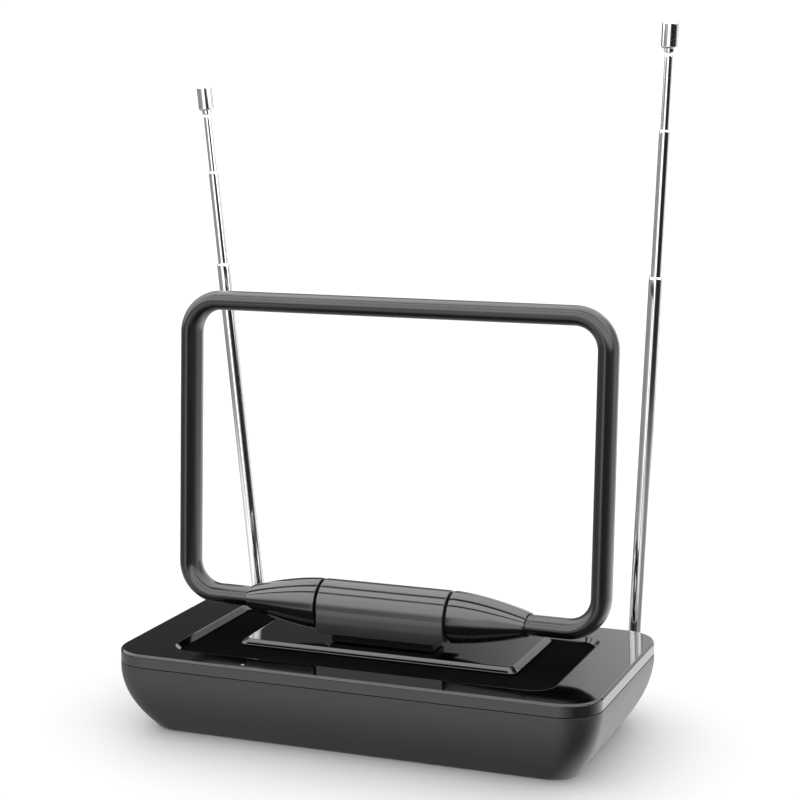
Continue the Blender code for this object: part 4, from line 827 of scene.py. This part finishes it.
# the foot plugs the lowest tube and carries the tongue that folds in the fork
def makeRodFoot(side, lean):
    start, top = rod["tubeStart"], rod["tubeStart"] + rod["plug"]
    radius, bore = rod["radii"]["lower"]
    plugRadius = bore - gap
    face = start - gap
    low = face - rodFoot["thick"]
    edge, shoulder = rodFoot["edge"], rodFoot["shoulder"]
    foot = turned("rodFoot" + side.title(), [
        (0, top), (plugRadius - rodFoot["plugChamfer"], top), (plugRadius, top - rodFoot["plugChamferTall"]),
        (plugRadius, face), (radius - shoulder, face), (radius, face - shoulder), (radius, low + edge),
        (radius - edge, low), (0, low)], nickel)
    half = radius - swivel["tongueIn"]
    root = low + swivel["tongueStart"]
    outline = [(half, root), (-half, root)] + arc((0, 0), half, 180, 360, 24)
    combine(foot, [turn(extruded("tongue", outline, swivel["tongue"], nickel), sectionYz)], "UNION")
    combine(foot, [makePinHole()])
    turn(dress(foot, sharpAngle=35), (0, lean, 0), swing[side])
    finishPiece(foot, f"rod_{side}", "nickel", f"rod_foot_{side}")


for side, setting in rodSides.items():
    makeRod(side, **setting)
for side, setting in rodSides.items():
    makeStud(side, setting["lean"])
    makeHingePin(side, setting["lean"])
    makeRodFoot(side, setting["lean"])
print("rods and swivels finished")

# sockets, light guide, feet and case screws
socket = {"pinBore": 0.0007, "mouth": 0.0018, "threadPitch": 0.0008, "threadDepth": 0.00022,
          "threadStart": 0.0006, "threadEnd": 0.0024, "threadClear": 0.003, "insulator": 0.0014,
          "insulatorHigh": 0.0010, "insulatorLow": 0.0014, "groove": 0.0019, "grooveDepth": 0.0030,
          "nutChamfer": 0.0006, "nutCrown": 0.0004, "nutOver": 0.0001}
inlet = {"pin": 0.0010, "pinNose": 0.0006, "pinTop": 0.0004, "depth": 0.0060, "bore": 0.0028,
         "flange": 0.0010, "chamfer": 0.0003}
lightGuide = {"radius": 0.0008, "shoulder": 0.0009, "dome": (0.00004, 0.00015, 0.0003), "edge": 0.0001}
footPad = {"edge": (0.0004, 0.00012), "ring": 0.0012, "ringIn": 0.0015, "facets": 56}
caseScrew = {"head": 0.0028, "headHeight": 0.0018, "shank": 0.0014, "length": 0.0150, "crossWidth": 0.0007,
             "crossReach": 0.0016, "crossDepth": 0.0009, "crossOver": 0.001, "turns": 9, "pitch": 0.0013,
             "threadStart": 0.0012, "threadDepth": 0.0003, "threadHalf": 0.0005}


def makeCoaxSocket():
    low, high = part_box("coax_socket")
    radius = (high.x - low.x) / 2
    root = radius - socket["threadDepth"]
    pitch = socket["threadPitch"]
    mouth, groove, insulator = radius - socket["mouth"], socket["groove"], socket["insulator"]
    insulatorHigh, insulatorLow = high.y - socket["insulatorHigh"], high.y - socket["insulatorLow"]
    grooveEnd = high.y - socket["grooveDepth"]
    profile = [(mouth, high.y), (radius - socket["threadStart"], high.y)]
    # turned thread drawn as fine ridges
    for k in range(int((high.y - bossFace - socket["threadClear"]) / pitch)):
        y = high.y - socket["threadStart"] - pitch * k
        profile += [(radius, y), (radius, y - pitch / 4), (root, y - pitch / 2), (root, y - pitch * 0.75)]
    profile += [(radius, bossFace + socket["threadEnd"]), (radius, low.y), (socket["pinBore"], low.y),
                (socket["pinBore"], insulatorLow), (insulator, insulatorLow), (insulator, insulatorHigh),
                (groove, insulatorHigh), (groove, grooveEnd), (mouth, grooveEnd)]
    centreZ = (low.z + high.z) / 2
    piece = turn(turned("coaxSocket", profile, nickel, 64, closedRun=True), alongY, (0, 0, centreZ))
    finishPiece(dress(piece, sharpAngle=30), "base", "nickel", "coax_socket")
    low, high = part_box("coax_nut")
    corner = (high.x - low.x) / 2
    half = (high.y - low.y) / 2
    flat, over = corner - socket["nutChamfer"], corner + socket["nutOver"]
    crown = half - socket["nutCrown"]
    nut = extruded("coaxNut", circle(corner, corner, 6), 2 * half, nickel)
    shaper = turned("crown", [(0, half), (flat, half), (over, crown),
                              (over, -crown), (flat, -half), (0, -half)], nickel, 64)
    combine(nut, [shaper], "INTERSECT")
    combine(nut, [plug(radius + gap, through, -through, nickel, 64)])
    turn(nut, alongY, (0, (low.y + high.y) / 2, centreZ))
    finishPiece(dress(nut, sharpAngle=25), "base", "nickel", "coax_nut")


def makeInlet():
    low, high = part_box("dc_inlet")
    centre = (low + high) / 2
    rim = high.y
    face = bossFace + gap
    floor = bossFace - inlet["depth"]
    pin, bore, chamfer = inlet["pin"], inlet["bore"], inlet["chamfer"]
    body = sockets["bosses"][1][2] - gap
    flange = body + inlet["flange"]
    nose = face - inlet["pinTop"]
    profile = [(0, nose), (inlet["pinNose"], nose), (pin, nose - inlet["pinNose"]), (pin, floor),
               (bore, floor), (bore, rim - chamfer), (bore + chamfer, rim), (flange - chamfer, rim),
               (flange, rim - chamfer), (flange, face), (body, face), (body, low.y), (0, low.y)]
    piece = turn(turned("dcInlet", profile, satinAbs, 56), alongY, (centre.x, 0, centre.z))
    finishPiece(dress(piece, sharpAngle=30), "base", "satin_abs", "dc_inlet")


def makeLightGuide():
    low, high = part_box("light_pipe")
    centre = (low + high) / 2
    radius, shoulder = lightGuide["radius"], low.z + lightGuide["shoulder"]
    crown, curve, side = lightGuide["dome"]
    collar = (high.x - low.x) / 2
    piece = turned("lightGuide", [
        (0, high.z), (radius * 0.6, high.z - crown), (radius - lightGuide["edge"], high.z - curve),
        (radius, high.z - side), (radius, shoulder), (collar, shoulder), (collar, low.z), (0, low.z)],
        acrylic, 40)
    turn(piece, location=(centre.x, centre.y, 0))
    finishPiece(dress(piece, sharpAngle=40), "base", "clear", "light_pipe")


def makeFootPad(row, side):
    low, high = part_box(f"foot_pad_{row}_{side}")
    centre = (low + high) / 2
    radius = (high.x - low.x) / 2
    edge, small = footPad["edge"]
    pad = turned(f"footPad{row.title()}{side.title()}", [
        (0, high.z), (radius, high.z), (radius, edge), (radius - small, small), (radius - edge, 0),
        (radius - footPad["ring"], 0), (radius - footPad["ringIn"], small), (0, small)],
        plain["mouldedNitrileRubber"], footPad["facets"])
    turn(pad, location=(centre.x, centre.y, 0))
    finishPiece(dress(pad, sharpAngle=40), "base", "rubber", f"foot_pad_{row}_{side}")


# a cross-head screw pointing up; its origin is under the head
def makeCaseScrew(row, side):
    steel = plain["zincPlatedSteel"]
    low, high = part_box(f"case_screw_{row}_{side}")
    centre = (low + high) / 2
    head, tall, shank, length = (caseScrew[name] for name in ("head", "headHeight", "shank", "length"))
    root, half = shank - caseScrew["threadDepth"], caseScrew["threadHalf"]
    profile = [(0, -tall), (head * 0.62, -tall + 0.0001), (head * 0.86, -tall * 0.75), (head, -tall * 0.4),
               (head, 0), (shank, 0)]
    for k in range(caseScrew["turns"]):
        z = caseScrew["threadStart"] + k * caseScrew["pitch"]
        profile += [(root, z), (shank, z + half), (root, z + 2 * half)]
    profile += [(shank * 0.9, length - shank), (shank * 0.35, length), (0, length)]
    screw = turned(f"caseScrew{row.title()}{side.title()}", profile, steel, 32)
    reach = caseScrew["crossReach"]
    narrow = caseScrew["crossWidth"] / 2
    top, bottom = -tall - caseScrew["crossOver"], -tall + caseScrew["crossDepth"]
    combine(screw, [box("bar", (-x, -y, top), (x, y, bottom), steel)
                    for x, y in ((reach, narrow), (narrow, reach))])
    spin = math.radians(20 + 31 * centre.x * 100)    # no two crosses line up
    turn(screw, (0, 0, spin), (centre.x, centre.y, high.z - length))
    finishPiece(dress(screw, sharpAngle=35), "base", "zinc_steel", f"case_screw_{row}_{side}")


makeCoaxSocket()
makeInlet()
makeLightGuide()
for row in ("front", "back"):
    for side in ("left", "right"):
        makeFootPad(row, side)
        makeCaseScrew(row, side)
print("sockets, light guide, feet and screws finished")

# frame nodes that stay, with their real finishes, except the saddle's, which is darkened as painted shade
steel, rubber = plain["zincPlatedSteel"], plain["mouldedNitrileRubber"]
keptFinishes = {
    "barrel_saddle": neckShadeAbs, "friction_spring": steel, "hinge_shaft": plain["naturalNylon"],
    "ballast_plate": steel, "circuit_board": board, "shield_can": plain["dippedTinplate"],
    "matching_transformer": plain["sinteredFerrite"], "indicator_led": acrylic,
    "loop_conductor": plain["bareAluminiumWire"], "led_lead": plain["extrudedGreyPvc"],
}
for side in ("left", "right"):
    keptFinishes.update({
        "barrel_screw_" + side: steel, "board_screw_" + side: steel, "cone_screw_" + side: steel,
        "friction_washer_" + side: rubber, "loop_lead_" + side: plain["extrudedGreyPvc"],
        "rod_lead_" + side: plain["extrudedRedPvc"], "rod_lug_" + side: plain["dippedTinplate"],
        "swivel_nut_" + side: nickel,
    })
for name, finish in keptFinishes.items():
    data = nodes[name].data
    data.materials.clear()
    data.materials.append(finish)
print("kept nodes finished:", len(keptFinishes))

# studio: pale floor, soft light from the room, soft boxes that only gloss shows
floorLook = {"size": 6.0, "cuts": 7, "drop": 0.0001, "colours": ("#f4f4f4", "#f7f7f7"),
             "roughness": (0.55, 0.7), "cloudSize": 400.0}


def makeFloor():
    look = floorLook
    half = look["size"] / 2
    work = bmesh.new()
    work.faces.new([work.verts.new((x * half, y * half, 0)) for x, y in ((-1, -1), (1, -1), (1, 1), (-1, 1))])
    bmesh.ops.subdivide_edges(work, edges=work.edges, cuts=look["cuts"], use_grid_fill=True)
    made, tree, shader, coords = newMaterial("rolledPaperSweep", {"Metallic": 0.0})   # pale matt paper
    cloud = addNode(tree, "ShaderNodeTexNoise", {"Vector": coords, "Scale": perMetre(look["cloudSize"]),
                                                 "Detail": 2.0})
    driveSurface(tree, shader, cloud.outputs["Fac"], look["colours"], cloud.outputs["Fac"], look["roughness"])
    floor = asPiece("studioFloor", work, made)
    floor.location.z = -look["drop"]
    floor.visible_glossy = False


# strengths: wall, table and kicker by compass angle from the front towards the right, and by height;
# overhead by pitch over the top from front to back; the brightest wins
studio = {
    "roomStrength": 1.12, "brightest": 8.0,
    "wall": ((-180, 1.7), (-172, 1.5), (-165, 1.1), (-162.5, 0.5), (-159, 0.15), (-152, 0.11), (-130, 0.22),
             (-100, 0.35), (-62, 0.32), (-40, 0.4), (-22, 0.65), (-12, 2.2), (6, 2.2), (12, 1.0), (20, 0.12),
             (32, 0.02), (92, 0.03), (102, 0.2), (114, 0.7), (128, 1.3), (140, 1.5), (146, 0.2), (153, 0.15),
             (158, 1.0), (165, 1.6), (172, 1.8), (180, 1.7)),
    "wallByHeight": ((-90, 0.0), (-15, 0.0), (-11, 1.0), (14, 1.0), (28, 0.7), (45, 0.0), (90, 0.0)),
    "table": ((-180, 1.2), (-160, 0.5), (-130, 0.5), (-100, 0.8), (-62, 1.2), (-30, 1.75), (0, 1.75),
              (20, 1.1), (45, 0.3), (90, 0.3), (110, 0.9), (135, 1.9), (160, 2.3), (166, 1.9), (172, 1.7),
              (180, 1.2)),
    "tableByHeight": ((-90, 0.25), (-60, 0.45), (-40, 0.75), (-22, 1.0), (-14.5, 1.0), (-11, 0.0), (90, 0.0)),
    "kicker": ((-180, 0.0), (-62, 0.0), (-50, 1.0), (-8, 1.0), (2, 0.0), (180, 0.0)),
    "kickerByHeight": ((-90, 0.0), (0, 0.0), (16, 3.3), (27, 3.8), (38, 0.0), (90, 0.0)),
    # the two gaps draw the dark lines along the barrel and cones
    "overhead": ((0, 0.0), (8, 0.0), (18, 2.0), (30, 3.6), (58, 4.2), (60, 4.2), (61, 0.0), (67.8, 0.0),
                 (68.4, 4.4), (93.5, 4.1), (95, 0.0), (103.5, 0.0), (104.5, 3.6), (125, 2.9), (140, 2.2),
                 (149, 1.7), (156, 0.3), (161, 0.0), (180, 0.0)),
}


def makeStudio():
    world = bpy.data.worlds.new("studio")
    scene.world = world
    world.use_nodes = True
    tree = world.node_tree
    tree.nodes.clear()
    world.cycles.sampling_method = "NONE"
    ray = addNode(tree, "ShaderNodeTexCoord").outputs["Generated"]
    axes = addNode(tree, "ShaderNodeSeparateXYZ", {"Vector": ray}).outputs

    def sums(operation, first, second=0.0):
        return addNode(tree, "ShaderNodeMath", {0: first, 1: second}, operation=operation).outputs[0]

    def ramp(value, low, high, points):
        share = addNode(tree, "ShaderNodeMapRange", {"Value": value, "From Min": math.radians(low),
                                                     "From Max": math.radians(high)}).outputs["Result"]
        stops = [((angle - low) / (high - low), grey(level / studio["brightest"])) for angle, level in points]
        return addNode(tree, "ShaderNodeValToRGB", {"Fac": share}, stops).outputs["Color"]

    towardsFront = sums("MULTIPLY", axes["Y"], -1.0)
    compass = sums("ARCTAN2", axes["X"], towardsFront)
    height = sums("ARCSINE", axes["Z"])
    pitch = sums("ARCTAN2", axes["Z"], towardsFront)
    lit = sums("MULTIPLY", ramp(pitch, 0, 180, studio["overhead"]), studio["brightest"])
    for name in ("wall", "table", "kicker"):
        around = ramp(compass, -180, 180, studio[name])
        byHeight = ramp(height, -90, 90, studio[name + "ByHeight"])
        panel = sums("MULTIPLY", sums("MULTIPLY", around, byHeight), studio["brightest"] ** 2)
        lit = sums("MAXIMUM", lit, panel)
    shown = addNode(tree, "ShaderNodeLightPath").outputs["Is Glossy Ray"]
    softboxes = addNode(tree, "ShaderNodeBackground", {"Color": grey(1.0), "Strength": lit})
    room = addNode(tree, "ShaderNodeBackground", {"Color": grey(1.0), "Strength": studio["roomStrength"]})
    both = addNode(tree, "ShaderNodeMixShader", {0: shown, 1: room.outputs[0], 2: softboxes.outputs[0]})
    addNode(tree, "ShaderNodeOutputWorld", {"Surface": both.outputs[0]})
    scene.view_settings.view_transform = "Standard"


view = {"turn": math.radians(21.394), "pitch": math.radians(9.325), "roll": math.radians(-0.134),
        "lens": 87.65, "sensor": 36.0, "clipStart": 0.01, "place": (0.296075, -0.742233, 0.271437)}


def makeCamera():
    aside, pitch, roll = view["turn"], view["pitch"], view["roll"]
    right = Vector((math.cos(aside), math.sin(aside), 0))
    back = Vector((math.sin(aside) * math.cos(pitch), -math.cos(aside) * math.cos(pitch), math.sin(pitch)))
    up = back.cross(right)
    across = math.cos(roll) * right + math.sin(roll) * up
    above = -math.sin(roll) * right + math.cos(roll) * up
    data = bpy.data.cameras.new("camera")
    data.lens = view["lens"]
    data.sensor_width = view["sensor"]
    data.clip_start = view["clipStart"]
    camera = bpy.data.objects.new("camera", data)
    scene.collection.objects.link(camera)
    pose = Matrix((across, above, back)).transposed().to_4x4()
    pose.translation = Vector(view["place"])
    camera.matrix_world = pose
    scene.camera = camera


makeFloor()
makeStudio()
makeCamera()
print("studio and camera set")
